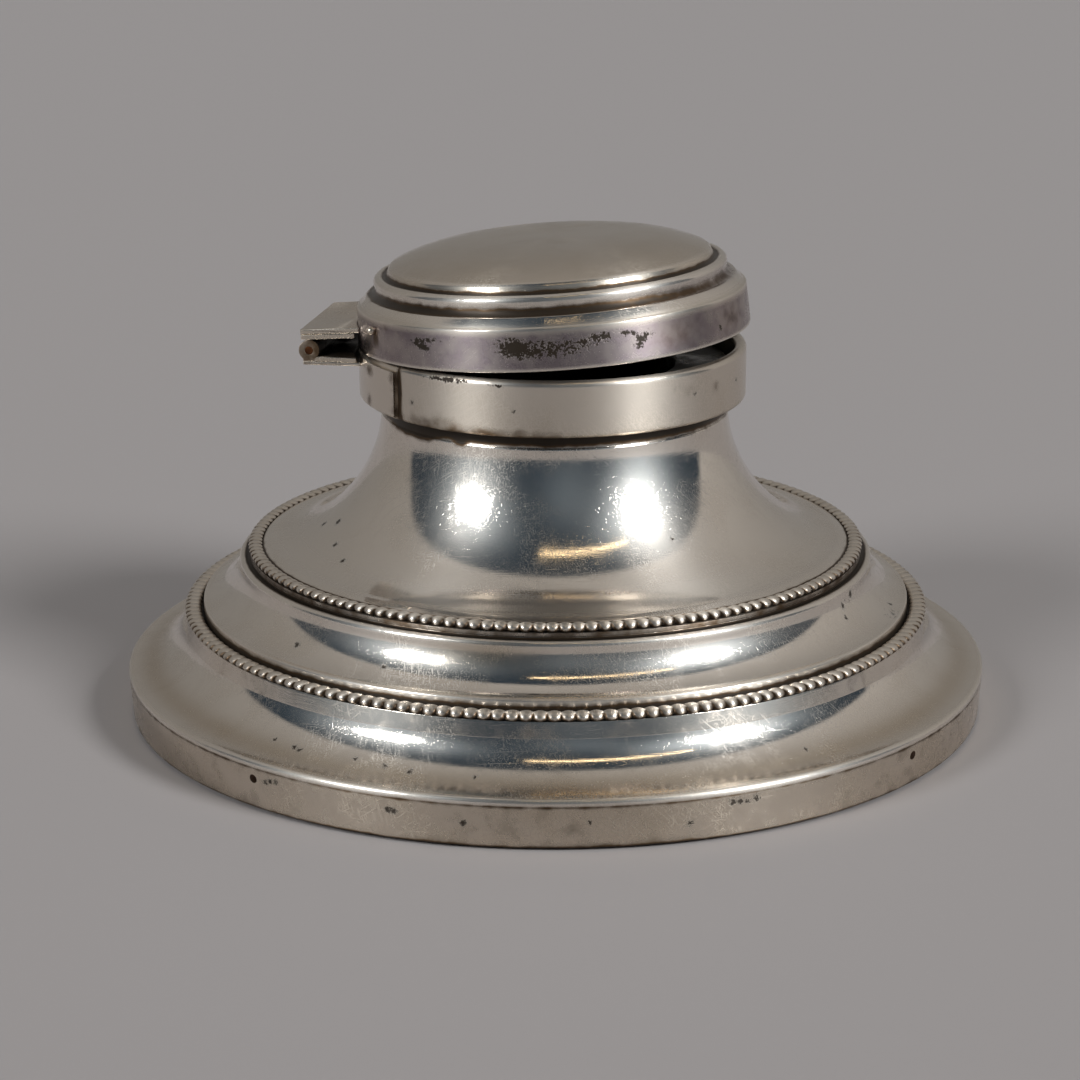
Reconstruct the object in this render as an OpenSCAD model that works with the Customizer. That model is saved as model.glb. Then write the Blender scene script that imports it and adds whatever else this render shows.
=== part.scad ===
// Desk inkstand of the capstan kind: a spun silver body in three tiers with two
// beaded borders, a neck collar, and a domed lid on an outboard five-knuckle hinge.
// It holds a lift-out glass ink liner, and its foot is loaded with plaster over a
// wooden base. The lid is drawn a little ajar, at the angle lid_ajar.
//
// The origin is at the centre of the underside, +Z is up, and the hinge is towards -X.

/* [Body] */
// Diameter over the lip of the foot
foot_d = 127; // [106:1:153]
// Height of the near-upright foot band
foot_band_h = 6.9; // [6:0.1:8.2]
// Radial step from the foot lip in to the lower row of beads
lower_tier_w = 9.75; // [8.2:0.05:11.7]
// Height of the lower row of beads above the foot lip
lower_tier_h = 8.05; // [6.7:0.05:9.6]
// Radial step from the lower row of beads in to the upper row
middle_tier_w = 9.45; // [7.9:0.05:11.3]
// Height of the upper row of beads above the lower row
middle_tier_h = 9.15; // [7.7:0.05:11]
// Diameter of the neck at its narrowest
neck_d = 50.8; // [42.3:0.1:61]
// Height of the neck's narrowest place above the upper row of beads
neck_h = 19.7; // [16.4:0.1:23.6]
// Thickness of the sheet silver that the body is spun from
sheet_t = 0.5; // [0.4:0.05:0.7]

/* [Beaded borders] */
// Distance from bead to bead along the lower row
lower_bead_pitch = 1.845; // [1.6:0.005:2.1]
// Distance from bead to bead along the upper row
upper_bead_pitch = 1.74; // [1.5:0.005:2]

/* [Collar and hinge] */
// How far the collar stands out from the neck, on the radius
collar_step = 2.5; // [2.1:0.1:3.4]
// Height of the neck collar
collar_h = 8; // [6.6:0.1:9.6]
// Thickness of the collar's wall
collar_t = 0.9; // [0.75:0.05:1.1]
// Distance from the collar's face out to the hinge pin
hinge_standoff = 6.35; // [5.3:0.05:7.7]
// Distance of the hinge pin below the collar's top
hinge_drop = 0.65; // [0.5:0.05:0.8]
// Length of the hinge along its pin
hinge_len = 20.4; // [17:0.1:24.5]
// Diameter of the hinge pin
pin_d = 1.2; // [1:0.05:1.4]
// Outer diameter of the knuckles
knuckle_d = 3; // [2.5:0.05:3.6]
// Half the arc that the hinge saddle covers on the collar, in degrees
saddle_half_arc = 46.8; // [40:0.1:56]

/* [Lid] */
// Clearance between the lid's band and the collar, on the radius
lid_fit = 0.2; // [0.15:0.05:0.4]
// Height of the lid's band, from its lower edge to its arris
lid_band_h = 5.6; // [4.7:0.1:6.7]
// Width of the mouldings between the lid's arris and its top panel
lid_moulding_w = 4.8; // [4:0.1:5.8]
// Height of the dome at the middle of the panel
dome_h = 2.9; // [2.4:0.1:3.5]
// Thickness of the sheet silver of the lid
lid_sheet_t = 0.45; // [0.4:0.05:0.55]
// Angle at which the lid stands ajar, in degrees
lid_ajar = 3.6; // [0:0.1:12]

/* [Ink well] */
// Thickness of the plaster between the neck and the well's sleeve
well_plaster_t = 2.3; // [1.9:0.1:2.8]
// Thickness of the plaster between the base board and the well's sleeve
well_bed_t = 6.6; // [5.5:0.1:8]
// Thickness of the glass liner's wall
liner_wall_t = 3.8; // [3.1:0.1:4.6]

/* [Hidden] */
$fn = 120;

// Gap left for solder or glue between pieces that are fixed to each other
joint_gap = 0.02;
// Running clearance around the pin in the lid's knuckles, on the radius
pin_clearance = 0.04;
// Clearance around the pin in the body's knuckles, where it is driven in
driven_clearance = 0.01;

// --- Heights of the body, from the table up ---
turn_in_z = 0.35;
lip_z = foot_band_h;
lower_bead_z = lip_z + lower_tier_h;
upper_bead_z = lower_bead_z + middle_tier_h;
neck_z = upper_bead_z + neck_h;
collar_reveal = 2.2;
collar_z = neck_z + collar_reveal;
collar_top_z = collar_z + collar_h;

// --- Radii of the body ---
foot_r = foot_d / 2;
lower_bead_ring_r = foot_r - lower_tier_w;
upper_bead_ring_r = lower_bead_ring_r - middle_tier_w;
neck_r = neck_d / 2;
collar_r = neck_r + collar_step;

// --- Beaded borders: domed beads on a flat strip ---
lower_bead_n = round(2 * PI * lower_bead_ring_r / lower_bead_pitch);
upper_bead_n = round(2 * PI * upper_bead_ring_r / upper_bead_pitch);
// A bead nearly fills its share of the ring
bead_fill = 0.97;
lower_bead_r = PI * lower_bead_ring_r / lower_bead_n * bead_fill;
upper_bead_r = PI * upper_bead_ring_r / upper_bead_n * bead_fill;
// Height of a bead's centre above the top of its strip
bead_rise = 0.35;
// Metal of the strip beside and below a bead
strip_skin = 0.05;
// How far the lower strip shows outside its beads
strip_apron = 0.22;
bead_fn = 24;

// --- Flanges on which the strips sit ---
lower_flange_z = lower_bead_z - lower_bead_r - strip_skin - joint_gap;
upper_flange_z = upper_bead_z - upper_bead_r - strip_skin - joint_gap;
lower_drop_r = lower_bead_ring_r - lower_bead_r - strip_skin;
upper_drop_r = upper_bead_ring_r - upper_bead_r - strip_skin;
lower_flange_r = lower_bead_ring_r + lower_bead_r + strip_apron;
upper_flange_r = upper_bead_ring_r + upper_bead_r;
flange_lap = 2.4 * sheet_t;

// --- Moulded outline of the tiers ---
// Fullness of a hollow: 2 is a quarter ellipse, less is shallower
hollow_fullness = 1.75;
hollow_steps = 20;
shoulder_w = 1.65;
shoulder_rise = 0.9;
shoulder_fall = 0.45;
bead_seat_lip = 0.3;
ridge_r = 0.65;
ridge_gap = 0.9;
ridge_rise = 0.27;
ridge_drop = 1.2;
middle_lip_w = 0.65;
middle_lip_z = lower_bead_z + 1.8;
lip_round = 0.25;
foot_lip_w = 0.55;
foot_lip_rise = 0.25;
band_taper = 0.4;
edge_round = 0.45;
turn_in_w = 2.9;

// --- Loading, base and sleeve ---
board_z = turn_in_z + sheet_t + joint_gap;
board_drop = 0.95;
board_top_z = lip_z - board_drop;
board_gap = 0.25;
board_chamfer = 1;
baize_gap = 0.3;
tube_inset = 0.2;
tube_rise = 2.28;
neck_tube_z = collar_z + tube_rise;
seat_t = 0.6;
seat_z = neck_tube_z + joint_gap;
sleeve_t = 0.35;
sleeve_play = 0.75;
sleeve_r = neck_r - tube_inset - sheet_t - well_plaster_t;
sleeve_floor_z = board_top_z + well_bed_t;

// --- Brads through the foot band into the board, a quarter turn apart ---
brad_n = 4;
brad_start = 59.8;
brad_drop = 2.2;
brad_z = lip_z - brad_drop;
brad_head_r = 0.7;
brad_head_t = 0.6;
brad_shank_r = 0.45;
brad_len = 6.5;
brad_gap = 0.05;

// --- Collar ---
collar_rim_r = 0.85;
collar_edge_r = 0.6;
collar_bore_r = collar_r - collar_t;
collar_mouth_r = collar_r - 2 * collar_rim_r;

// --- Glass liner ---
liner_flange_t = 2;
liner_flange_play = 0.5;
liner_flange_r = collar_mouth_r - liner_flange_play;
liner_lift = 0.03;
liner_flange_z = seat_z + seat_t + liner_lift;
liner_top_z = liner_flange_z + liner_flange_t;
liner_foot_gap = 0.45;
liner_foot_z = sleeve_floor_z + sleeve_t + liner_foot_gap;
liner_floor_z = liner_foot_z + liner_wall_t;
liner_r = sleeve_r - sleeve_t - sleeve_play;
liner_bore_r = liner_r - liner_wall_t;
liner_well_round = 4;
liner_foot_round = 2;
liner_rim_round = 0.6;

// --- Hinge: two leaves with the knuckles between them ---
hinge_reach = collar_r + hinge_standoff;
hinge_z = collar_top_z - hinge_drop;
pin_r = pin_d / 2;
knuckle_r = knuckle_d / 2;
knuckle_n = 5;
knuckle_gap = 0.1;
knuckle_len = (hinge_len - (knuckle_n - 1) * knuckle_gap) / knuckle_n;
leaf_gap = 0.1;
strap_t = 0.7;
lid_leaf_t = 0.8;
body_leaf_t = 0.5;
lid_leaf_overhang = 1.05;
body_leaf_overhang = 0.9;
strap_z = knuckle_r + leaf_gap;
web_half_w = 0.8;
lid_strap_setback = 1;
saddle_t = 0.58;
saddle_r = collar_r + joint_gap + saddle_t;
saddle_top_gap = 0.25;
saddle_foot_gap = 0.3;

// --- Lid, drawn shut ---
lid_overlap = 0.75;
lid_z = collar_top_z - lid_overlap;
lid_r = collar_r + lid_fit + lid_sheet_t;
band_taper_r = 0.35;
lid_arris_r = lid_r - band_taper_r;
lid_arris_z = lid_z + lid_band_h;
panel_r = lid_arris_r - lid_moulding_w;
dome_fullness = 4;
dome_steps = 14;
// Mouldings from the arris up to the panel: a sloping flange, a cove, a rounded ring and a groove
arris_round = 0.35;
cove_r = 1;
cove_floor_w = 0.25;
cove_floor_z = lid_arris_z + 1.6;
ring_round = 0.85;
ring_share = 0.28;
ring_r = panel_r + ring_share * lid_moulding_w;
ring_z = cove_floor_z + 1.8;
cove_wall_in = 0.1;
cove_wall_r = ring_r + ring_round - cove_wall_in;
flange_in_r = cove_wall_r + cove_r + cove_floor_w;
groove_r = panel_r + 0.45;
groove_z = ring_z + 0.65;
panel_round = 0.35;
panel_z = groove_z + 1.3;
lid_seat_gap = 0.15;
bezel_t = 0.55;
bezel_w = 4.5;
lining_t = 0.45;
lining_flange_w = 3.5;
lining_rise = 2.6;
lining_steps = 10;
loading_gap = 0.05;

// ---------- Outlines ----------

// A hollow (cavetto) that leaves [r0, z0] straight down and reaches [r1, z1] level
function hollow(r0, z0, r1, z1) = [
    for (i = [0 : hollow_steps])
    let (a = 90 * i / hollow_steps, k = 2 / hollow_fullness)
    [r0 + (r1 - r0) * (1 - pow(cos(a), k)), z0 - (z0 - z1) * pow(sin(a), k)]
];

// An arc about [cr, cz] from angle a0 to angle a1
function arc(cr, cz, r, a0, a1, n = 6) = [
    for (i = [0 : n]) let (a = a0 + (a1 - a0) * i / n) [cr + r * cos(a), cz + r * sin(a)]
];

function backwards(points) = [for (i = [len(points) - 1 : -1 : 0]) points[i]];

// Key places of each tier, which its inner side and the loading share
shoulder_r = upper_drop_r - shoulder_w;
shoulder_z = upper_bead_z + shoulder_rise;
shoulder_edge_z = shoulder_z - shoulder_fall;
tube_r = neck_r - tube_inset;

ridge_cr = upper_flange_r + ridge_gap;
ridge_cz = upper_flange_z - sheet_t - joint_gap + ridge_rise - ridge_r;
middle_top_r = ridge_cr + ridge_r;
middle_top_z = ridge_cz - ridge_drop + ridge_r;
middle_lip_r = lower_drop_r - middle_lip_w;
middle_flange_z = upper_flange_z - sheet_t - joint_gap;
middle_flange_r = upper_drop_r - flange_lap;

foot_top_r = lower_flange_r;
foot_top_z = lower_flange_z - sheet_t - joint_gap;
foot_flange_r = lower_drop_r - flange_lap;
band_foot_r = foot_r - band_taper;

// Inner sides of the tiers, from the top down, set in by t from the outer side
function neck_inside(t) = concat(
    [[tube_r - t, neck_tube_z], [tube_r - t, neck_z]],
    hollow(neck_r - t, neck_z - sheet_t, shoulder_r, shoulder_z - t),
    [[upper_drop_r - t, shoulder_edge_z - t]]);

function middle_inside(t) = concat(
    [[middle_top_r - t, middle_flange_z - t]],
    hollow(middle_top_r - t, middle_top_z, middle_lip_r - t, middle_lip_z - t),
    [[lower_drop_r - middle_lip_w - t, lower_flange_z + sheet_t]]);

function foot_inside(t) = concat(
    [[foot_top_r - t, foot_top_z - t]],
    hollow(foot_top_r - t, foot_top_z - sheet_t, foot_r - foot_lip_w - t, lip_z + foot_lip_rise - t),
    [[foot_r - band_taper / 2 - t, lip_z - sheet_t - t], [band_foot_r - t, turn_in_z + t]]);

// Dome of the lid's panel, from its edge in to the axis, lowered by t
function dome(r, t) = [
    for (i = [0 : dome_steps])
    let (x = r * (1 - i / dome_steps))
    [x, panel_z + dome_h * (1 - pow(x / panel_r, dome_fullness)) - t]
];

// Underside of the lid's lining, a shallow saucer, raised by t
function saucer(r, t) = [
    for (i = [0 : lining_steps])
    let (x = r * (1 - i / lining_steps))
    [x, lining_z + t + lining_rise * (1 - pow(x / r, 2))]
];

lining_z = collar_top_z + lid_seat_gap + bezel_t + joint_gap;
lining_saucer_r = collar_r - lining_flange_w;
bezel_r = lid_arris_r - lid_sheet_t - joint_gap;

function lid_outside() = concat(
    [[lid_r, lid_z]],
    arc(lid_arris_r - arris_round, lid_arris_z, arris_round, 0, 90, 4),
    [[flange_in_r, cove_floor_z]],
    arc(cove_wall_r + cove_r, cove_floor_z + cove_r, cove_r, 270, 180),
    arc(ring_r, ring_z, ring_round, 0, 130, 8),
    [[groove_r, groove_z]],
    arc(panel_r - panel_round, panel_z - panel_round, panel_round, 0, 60, 3),
    dome(panel_r - panel_round, 0));

// Inner side of the lid, one thickness of sheet and then t in from the outer side
function lid_inside(t) = let (s = lid_sheet_t + t) concat(
    [[lid_r - s, lid_z], [lid_arris_r - s, lid_arris_z - s],
     [flange_in_r - s, cove_floor_z - s], [cove_wall_r - s, cove_floor_z - s],
     [cove_wall_r - s, groove_z - s], [panel_r - panel_round - s, groove_z - s]],
    dome(panel_r - panel_round - s, s));

// ---------- Placing ----------

// Turns the lid's pieces about the hinge pin, from shut to ajar
module lid_pose() {
    translate([-hinge_reach, 0, hinge_z])
        rotate([0, -lid_ajar, 0])
            translate([hinge_reach, 0, -hinge_z])
                children();
}

// A rod along Y, centred at the hinge pin
module hinge_rod(r, y, length) {
    translate([-hinge_reach, y, hinge_z])
        rotate([90, 0, 0])
            cylinder(r = r, h = length, center = true);
}

// A flat bar of the hinge, from x0 to x1 and z0 to z1 as seen from the pin
module hinge_bar(x0, x1, z0, z1, y, length) {
    translate([x0 - hinge_reach, y - length / 2, z0 + hinge_z])
        cube([x1 - x0, length, z1 - z0]);
}

// Middle of knuckle i along the pin
function knuckle_y(i) = (i - (knuckle_n - 1) / 2) * (knuckle_len + knuckle_gap);

body_turns = [for (i = [0 : 2 : knuckle_n - 1]) i];
lid_turns = [for (i = [1 : 2 : knuckle_n - 1]) i];

// Places the brads' tools around the foot
module around_brads() {
    for (i = [0 : brad_n - 1])
        rotate([0, 0, brad_start + 360 * i / brad_n])
            translate([0, 0, brad_z])
                rotate([0, 90, 0])
                    children();
}

brad_face_r = band_foot_r + band_taper * (brad_z - turn_in_z) / (lip_z - turn_in_z) - brad_gap;

// ---------- Body ----------

module foot_tier() {
    color("silver") difference() {
        rotate_extrude() polygon(concat(
            [[foot_flange_r, foot_top_z], [foot_top_r, foot_top_z]],
            hollow(foot_top_r, foot_top_z - sheet_t, foot_r - foot_lip_w, lip_z + foot_lip_rise),
            arc(foot_r - lip_round, lip_z, lip_round, 90, 0, 3),
            arc(band_foot_r - edge_round, turn_in_z + edge_round, edge_round, 0, -90, 4),
            [[band_foot_r - turn_in_w, turn_in_z], [band_foot_r - turn_in_w, turn_in_z + sheet_t]],
            backwards(foot_inside(sheet_t)),
            [[foot_flange_r, foot_top_z - sheet_t]]));
        around_brads() translate([0, 0, band_foot_r - 2 * sheet_t - brad_gap])
            cylinder(r = brad_head_r + brad_gap, h = 4 * sheet_t, $fn = 32);
    }
}

module middle_tier() {
    color("silver") rotate_extrude() polygon(concat(
        [[middle_flange_r, middle_flange_z], [upper_flange_r, middle_flange_z]],
        arc(ridge_cr, ridge_cz, ridge_r, 135, 0),
        hollow(middle_top_r, middle_top_z, middle_lip_r - lip_round, middle_lip_z),
        arc(middle_lip_r - lip_round, middle_lip_z - lip_round, lip_round, 90, 0, 3),
        [[middle_lip_r, lower_flange_z], [lower_flange_r, lower_flange_z],
         [lower_flange_r, lower_flange_z - sheet_t],
         [middle_lip_r - sheet_t, lower_flange_z - sheet_t]],
        backwards(middle_inside(sheet_t)),
        [[middle_flange_r, middle_flange_z - sheet_t]]));
}

module neck_shell() {
    color("silver") rotate_extrude() polygon(concat(
        [[tube_r, neck_tube_z], [tube_r, neck_z + tube_inset]],
        hollow(neck_r, neck_z, shoulder_r, shoulder_z),
        [[upper_drop_r - bead_seat_lip, shoulder_edge_z + bead_seat_lip / 4],
         [upper_drop_r, shoulder_edge_z - bead_seat_lip],
         [upper_drop_r, upper_flange_z], [upper_flange_r, upper_flange_z],
         [upper_flange_r, upper_flange_z - sheet_t],
         [upper_drop_r - sheet_t, upper_flange_z - sheet_t]],
        backwards(neck_inside(sheet_t))));
}

// A row of domed beads on its strip
module bead_border(ring_r, ring_z, bead_r, n, apron) {
    color("gainsboro") union() {
        rotate_extrude() translate([ring_r - bead_r - strip_skin / 2, ring_z - bead_r - strip_skin])
            square([2 * bead_r + strip_skin / 2 + apron, bead_r + strip_skin - bead_rise]);
        for (i = [0 : n - 1])
            rotate([0, 0, 360 * i / n])
                translate([ring_r, 0, ring_z])
                    sphere(r = bead_r, $fn = bead_fn);
    }
}

module lower_bead_border() {
    bead_border(lower_bead_ring_r, lower_bead_z, lower_bead_r, lower_bead_n, strip_apron);
}

module upper_bead_border() {
    bead_border(upper_bead_ring_r, upper_bead_z, upper_bead_r, upper_bead_n, 0);
}

module neck_collar() {
    color("lightgray") rotate_extrude() union() {
        // Wall, with its lower arris softened, and the flange that closes its foot
        polygon(concat(
            [[tube_r + joint_gap, collar_z]],
            arc(collar_r - collar_edge_r, collar_z + collar_edge_r, collar_edge_r, -90, 0, 5),
            [[collar_r, collar_top_z - collar_rim_r], [collar_bore_r, collar_top_z - collar_rim_r],
             [collar_bore_r, collar_z + collar_t], [tube_r + joint_gap, collar_z + collar_t]]));
        // Rolled rim
        translate([collar_r - collar_rim_r, collar_top_z - collar_rim_r])
            circle(r = collar_rim_r, $fn = 32);
    }
}

module liner_seat() {
    color("silver") translate([0, 0, seat_z]) difference() {
        cylinder(r = collar_bore_r - joint_gap, h = seat_t);
        translate([0, 0, -seat_t])
            cylinder(r = sleeve_r - sleeve_t - joint_gap, h = 3 * seat_t);
    }
}

module hinge_saddle() {
    color("silver") rotate([0, 0, 180 - saddle_half_arc])
        rotate_extrude(angle = 2 * saddle_half_arc)
            polygon(concat(
                [[collar_r + joint_gap, lid_z - saddle_top_gap],
                 [collar_r + joint_gap, collar_z + collar_edge_r]],
                arc(saddle_r - saddle_t, collar_z + saddle_foot_gap + saddle_t, saddle_t, -80, 0, 4),
                [[saddle_r, lid_z - saddle_top_gap]]));
}

module body_hinge_leaf() {
    color("silver") difference() {
        hinge_bar(-body_leaf_overhang, hinge_reach - neck_r / 2,
                  -strap_z - body_leaf_t, -strap_z, 0, hinge_len);
        cylinder(r = saddle_r + joint_gap, h = collar_top_z + collar_h);
    }
}

module body_knuckles() {
    color("silver") difference() {
        union() {
            for (i = body_turns) {
                hinge_rod(knuckle_r, knuckle_y(i), knuckle_len);
                hinge_bar(-web_half_w, web_half_w, -strap_z + joint_gap, 0, knuckle_y(i), knuckle_len);
            }
            hinge_bar(-body_leaf_overhang, hinge_reach - saddle_r - lid_strap_setback,
                      -strap_z + joint_gap, -strap_z + strap_t, 0, hinge_len);
        }
        hinge_rod(pin_r + driven_clearance, 0, 2 * hinge_len);
        for (i = lid_turns)
            hinge_rod(knuckle_r + 2 * leaf_gap, knuckle_y(i), knuckle_len + 2 * knuckle_gap);
    }
}

module hinge_pin() {
    color("peru") hinge_rod(pin_r, 0, hinge_len);
}

// ---------- Filling, base and ink well ----------

module plaster_loading() {
    gap = sheet_t + loading_gap;
    top_z = seat_z - joint_gap - loading_gap;
    color("ivory") difference() {
        rotate_extrude() polygon(concat(
            [[sleeve_r + joint_gap, top_z], [tube_r - gap, top_z], [tube_r - gap, neck_z]],
            hollow(neck_r - gap, neck_z - sheet_t, shoulder_r, shoulder_z - gap),
            [[middle_flange_r - loading_gap, shoulder_edge_z - gap],
             [middle_flange_r - loading_gap, middle_flange_z - gap],
             [middle_top_r - gap, middle_flange_z - gap]],
            hollow(middle_top_r - gap, middle_top_z, foot_flange_r - loading_gap - sheet_t, middle_lip_z - gap),
            [[foot_flange_r - loading_gap, middle_lip_z - gap],
             [foot_flange_r - loading_gap, foot_top_z - gap], [foot_top_r - gap, foot_top_z - gap]],
            hollow(foot_top_r - gap, foot_top_z - sheet_t, foot_r - foot_lip_w - 2 * gap,
                   lip_z + foot_lip_rise - gap),
            [[foot_r - foot_lip_w - 2 * gap, board_top_z + joint_gap],
             [0, board_top_z + joint_gap], [0, sleeve_floor_z - joint_gap],
             [sleeve_r + joint_gap, sleeve_floor_z - joint_gap]]));
    }
}

module well_sleeve() {
    color("goldenrod") rotate_extrude()
        polygon([[0, sleeve_floor_z], [sleeve_r, sleeve_floor_z], [sleeve_r, neck_tube_z],
                 [sleeve_r - sleeve_t, neck_tube_z], [sleeve_r - sleeve_t, sleeve_floor_z + sleeve_t],
                 [0, sleeve_floor_z + sleeve_t]]);
}

module glass_liner() {
    color("lightcyan") rotate_extrude() polygon(concat(
        [[0, liner_foot_z]],
        arc(liner_r - liner_foot_round, liner_foot_z + liner_foot_round, liner_foot_round, -90, 0),
        [[liner_r, liner_flange_z]],
        arc(liner_flange_r - liner_rim_round, liner_flange_z + liner_rim_round, liner_rim_round, -90, 0, 4),
        arc(liner_flange_r - liner_rim_round, liner_top_z - liner_rim_round, liner_rim_round, 0, 90, 4),
        arc(liner_bore_r + liner_rim_round, liner_top_z - liner_rim_round, liner_rim_round, 90, 180, 4),
        arc(liner_bore_r - liner_well_round, liner_floor_z + liner_well_round, liner_well_round, 0, -90),
        [[0, liner_floor_z]]));
}

module base_board() {
    board_r = band_foot_r - sheet_t - board_gap;
    color("burlywood") difference() {
        rotate_extrude() polygon([
            [0, board_z], [board_r, board_z], [board_r, board_top_z - board_chamfer],
            [board_r - board_chamfer, board_top_z], [0, board_top_z]]);
        around_brads() translate([0, 0, brad_face_r - brad_len - brad_gap])
            cylinder(r = brad_shank_r + driven_clearance, h = brad_len + foot_r, $fn = 32);
    }
}

module baize_pad() {
    color("darkgreen")
        cylinder(r = band_foot_r - turn_in_w - baize_gap, h = board_z - joint_gap);
}

module base_brads() {
    color("sienna") around_brads() {
        translate([0, 0, brad_face_r - brad_len])
            cylinder(r = brad_shank_r, h = brad_len, $fn = 32);
        translate([0, 0, brad_face_r - brad_head_t])
            cylinder(r = brad_head_r, h = brad_head_t, $fn = 32);
    }
}

// ---------- Lid ----------

module lid_shell() {
    color("silver") lid_pose() rotate_extrude()
        polygon(concat(lid_outside(), backwards(lid_inside(0))));
}

module lid_bezel() {
    color("gainsboro") lid_pose() translate([0, 0, collar_top_z + lid_seat_gap]) difference() {
        cylinder(r = bezel_r, h = bezel_t);
        translate([0, 0, -bezel_t]) cylinder(r = bezel_r - bezel_w, h = 3 * bezel_t);
    }
}

module lid_lining() {
    color("khaki") lid_pose() rotate_extrude() polygon(concat(
        [[bezel_r, lining_z]], saucer(lining_saucer_r, 0),
        backwards(saucer(lining_saucer_r, lining_t)), [[bezel_r, lining_z + lining_t]]));
}

module lid_loading() {
    gap = lid_sheet_t + loading_gap;
    top = lid_inside(loading_gap);
    color("ivory") lid_pose() rotate_extrude() polygon(concat(
        saucer(lining_saucer_r, lining_t + joint_gap),
        backwards([for (i = [1 : len(top) - 1]) top[i]]),
        [[bezel_r - gap, lining_z + lining_t + joint_gap]]));
}

module lid_hinge_leaf() {
    color("silver") lid_pose() difference() {
        hinge_bar(-lid_leaf_overhang, hinge_reach - neck_r / 2,
                  strap_z + strap_t, strap_z + strap_t + lid_leaf_t, 0, hinge_len);
        translate([0, 0, lid_z])
            cylinder(r1 = lid_r + joint_gap, r2 = lid_arris_r + joint_gap, h = lid_band_h);
    }
}

module lid_knuckles() {
    color("silver") lid_pose() difference() {
        union() {
            for (i = lid_turns) {
                hinge_rod(knuckle_r, knuckle_y(i), knuckle_len);
                hinge_bar(-web_half_w, web_half_w, 0, strap_z, knuckle_y(i), knuckle_len);
            }
            hinge_bar(-lid_leaf_overhang, hinge_reach - lid_r - lid_strap_setback,
                      strap_z, strap_z + strap_t - joint_gap, 0, hinge_len);
        }
        hinge_rod(pin_r + pin_clearance, 0, 2 * hinge_len);
    }
}

foot_tier();
middle_tier();
neck_shell();
lower_bead_border();
upper_bead_border();
neck_collar();
liner_seat();
hinge_saddle();
body_hinge_leaf();
body_knuckles();
hinge_pin();
plaster_loading();
well_sleeve();
glass_liner();
base_board();
baize_pad();
base_brads();
lid_shell();
lid_bezel();
lid_lining();
lid_loading();
lid_hinge_leaf();
lid_knuckles();
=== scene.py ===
"""Desk inkstand of the capstan kind, in old polished silver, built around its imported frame.

Lengths are in metres on the panel and in millimetres in the outlines. The origin is at the centre of
the underside, +Z is up, and the hinge is towards -X.
"""

from types import SimpleNamespace

import bpy
import numpy as np
from bpy.props import FloatProperty, IntProperty, PointerProperty, StringProperty
from mathutils import Matrix, Vector


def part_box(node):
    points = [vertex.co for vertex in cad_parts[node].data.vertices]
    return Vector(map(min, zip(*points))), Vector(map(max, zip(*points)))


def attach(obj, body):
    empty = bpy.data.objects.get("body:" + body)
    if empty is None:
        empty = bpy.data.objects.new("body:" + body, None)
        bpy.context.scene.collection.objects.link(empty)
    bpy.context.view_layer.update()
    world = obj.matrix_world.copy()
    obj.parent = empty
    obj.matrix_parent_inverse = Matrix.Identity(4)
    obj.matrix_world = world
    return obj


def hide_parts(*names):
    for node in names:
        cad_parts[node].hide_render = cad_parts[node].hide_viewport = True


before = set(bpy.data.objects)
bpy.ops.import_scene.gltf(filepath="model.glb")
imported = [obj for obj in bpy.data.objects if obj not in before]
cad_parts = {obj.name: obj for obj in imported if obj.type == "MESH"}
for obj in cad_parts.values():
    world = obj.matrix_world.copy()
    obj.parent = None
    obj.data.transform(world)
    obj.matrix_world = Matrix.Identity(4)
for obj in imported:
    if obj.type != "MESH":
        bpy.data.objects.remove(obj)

bl_info = {
    "name": "Capstan inkstand",
    "version": (1, 0, 0),
    "blender": (4, 5, 0),
    "location": "View3D > Sidebar > Inkstand",
    "description": "Spun silver inkstand with beaded borders and a hinged, domed lid",
    "category": "Object",
}

MM = 0.001
FULL_TURN = 2 * np.pi
# Lesser sizes, in millimetres
GAP = 0.02  # between two pieces that lie on each other
STRIP = 0.05  # how far the strip that carries the beads reaches past them
EDGE = 0.3  # round of the foot's lower edge
LIP = 0.55  # round of the foot's lip
TURN_IN = 2.9  # width of the foot's turned-in edge
RIDGE = 0.65  # round of the ridge on the middle tier
RIM = 0.85  # round of the collar's rim, and of the ring about the dome
LID_SHEET = 0.45  # thickness of the lid's sheet
SOLDER = 0.22  # how far the solder stands out below the lower beads
SADDLE, SADDLE_END = 0.58, 46.8  # thickness of the hinge's saddle, and half its reach in degrees
KNUCKLE, KNUCKLE_GAP = 1.5, 0.1  # radius of the knuckles, and the gap between two of them
BODY_OVERHANG, LID_OVERHANG, WEB = 0.9, 1.05, 0.8  # of the leaves past the pin, and half a knuckle's web
# Heights of the two leaves and their straps over the pin
BODY_LEAF, BODY_STRAP, LID_STRAP, LID_LEAF = (-2.1, -1.6), (-1.58, -0.9), (1.6, 2.28), (2.3, 3.1)
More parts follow.
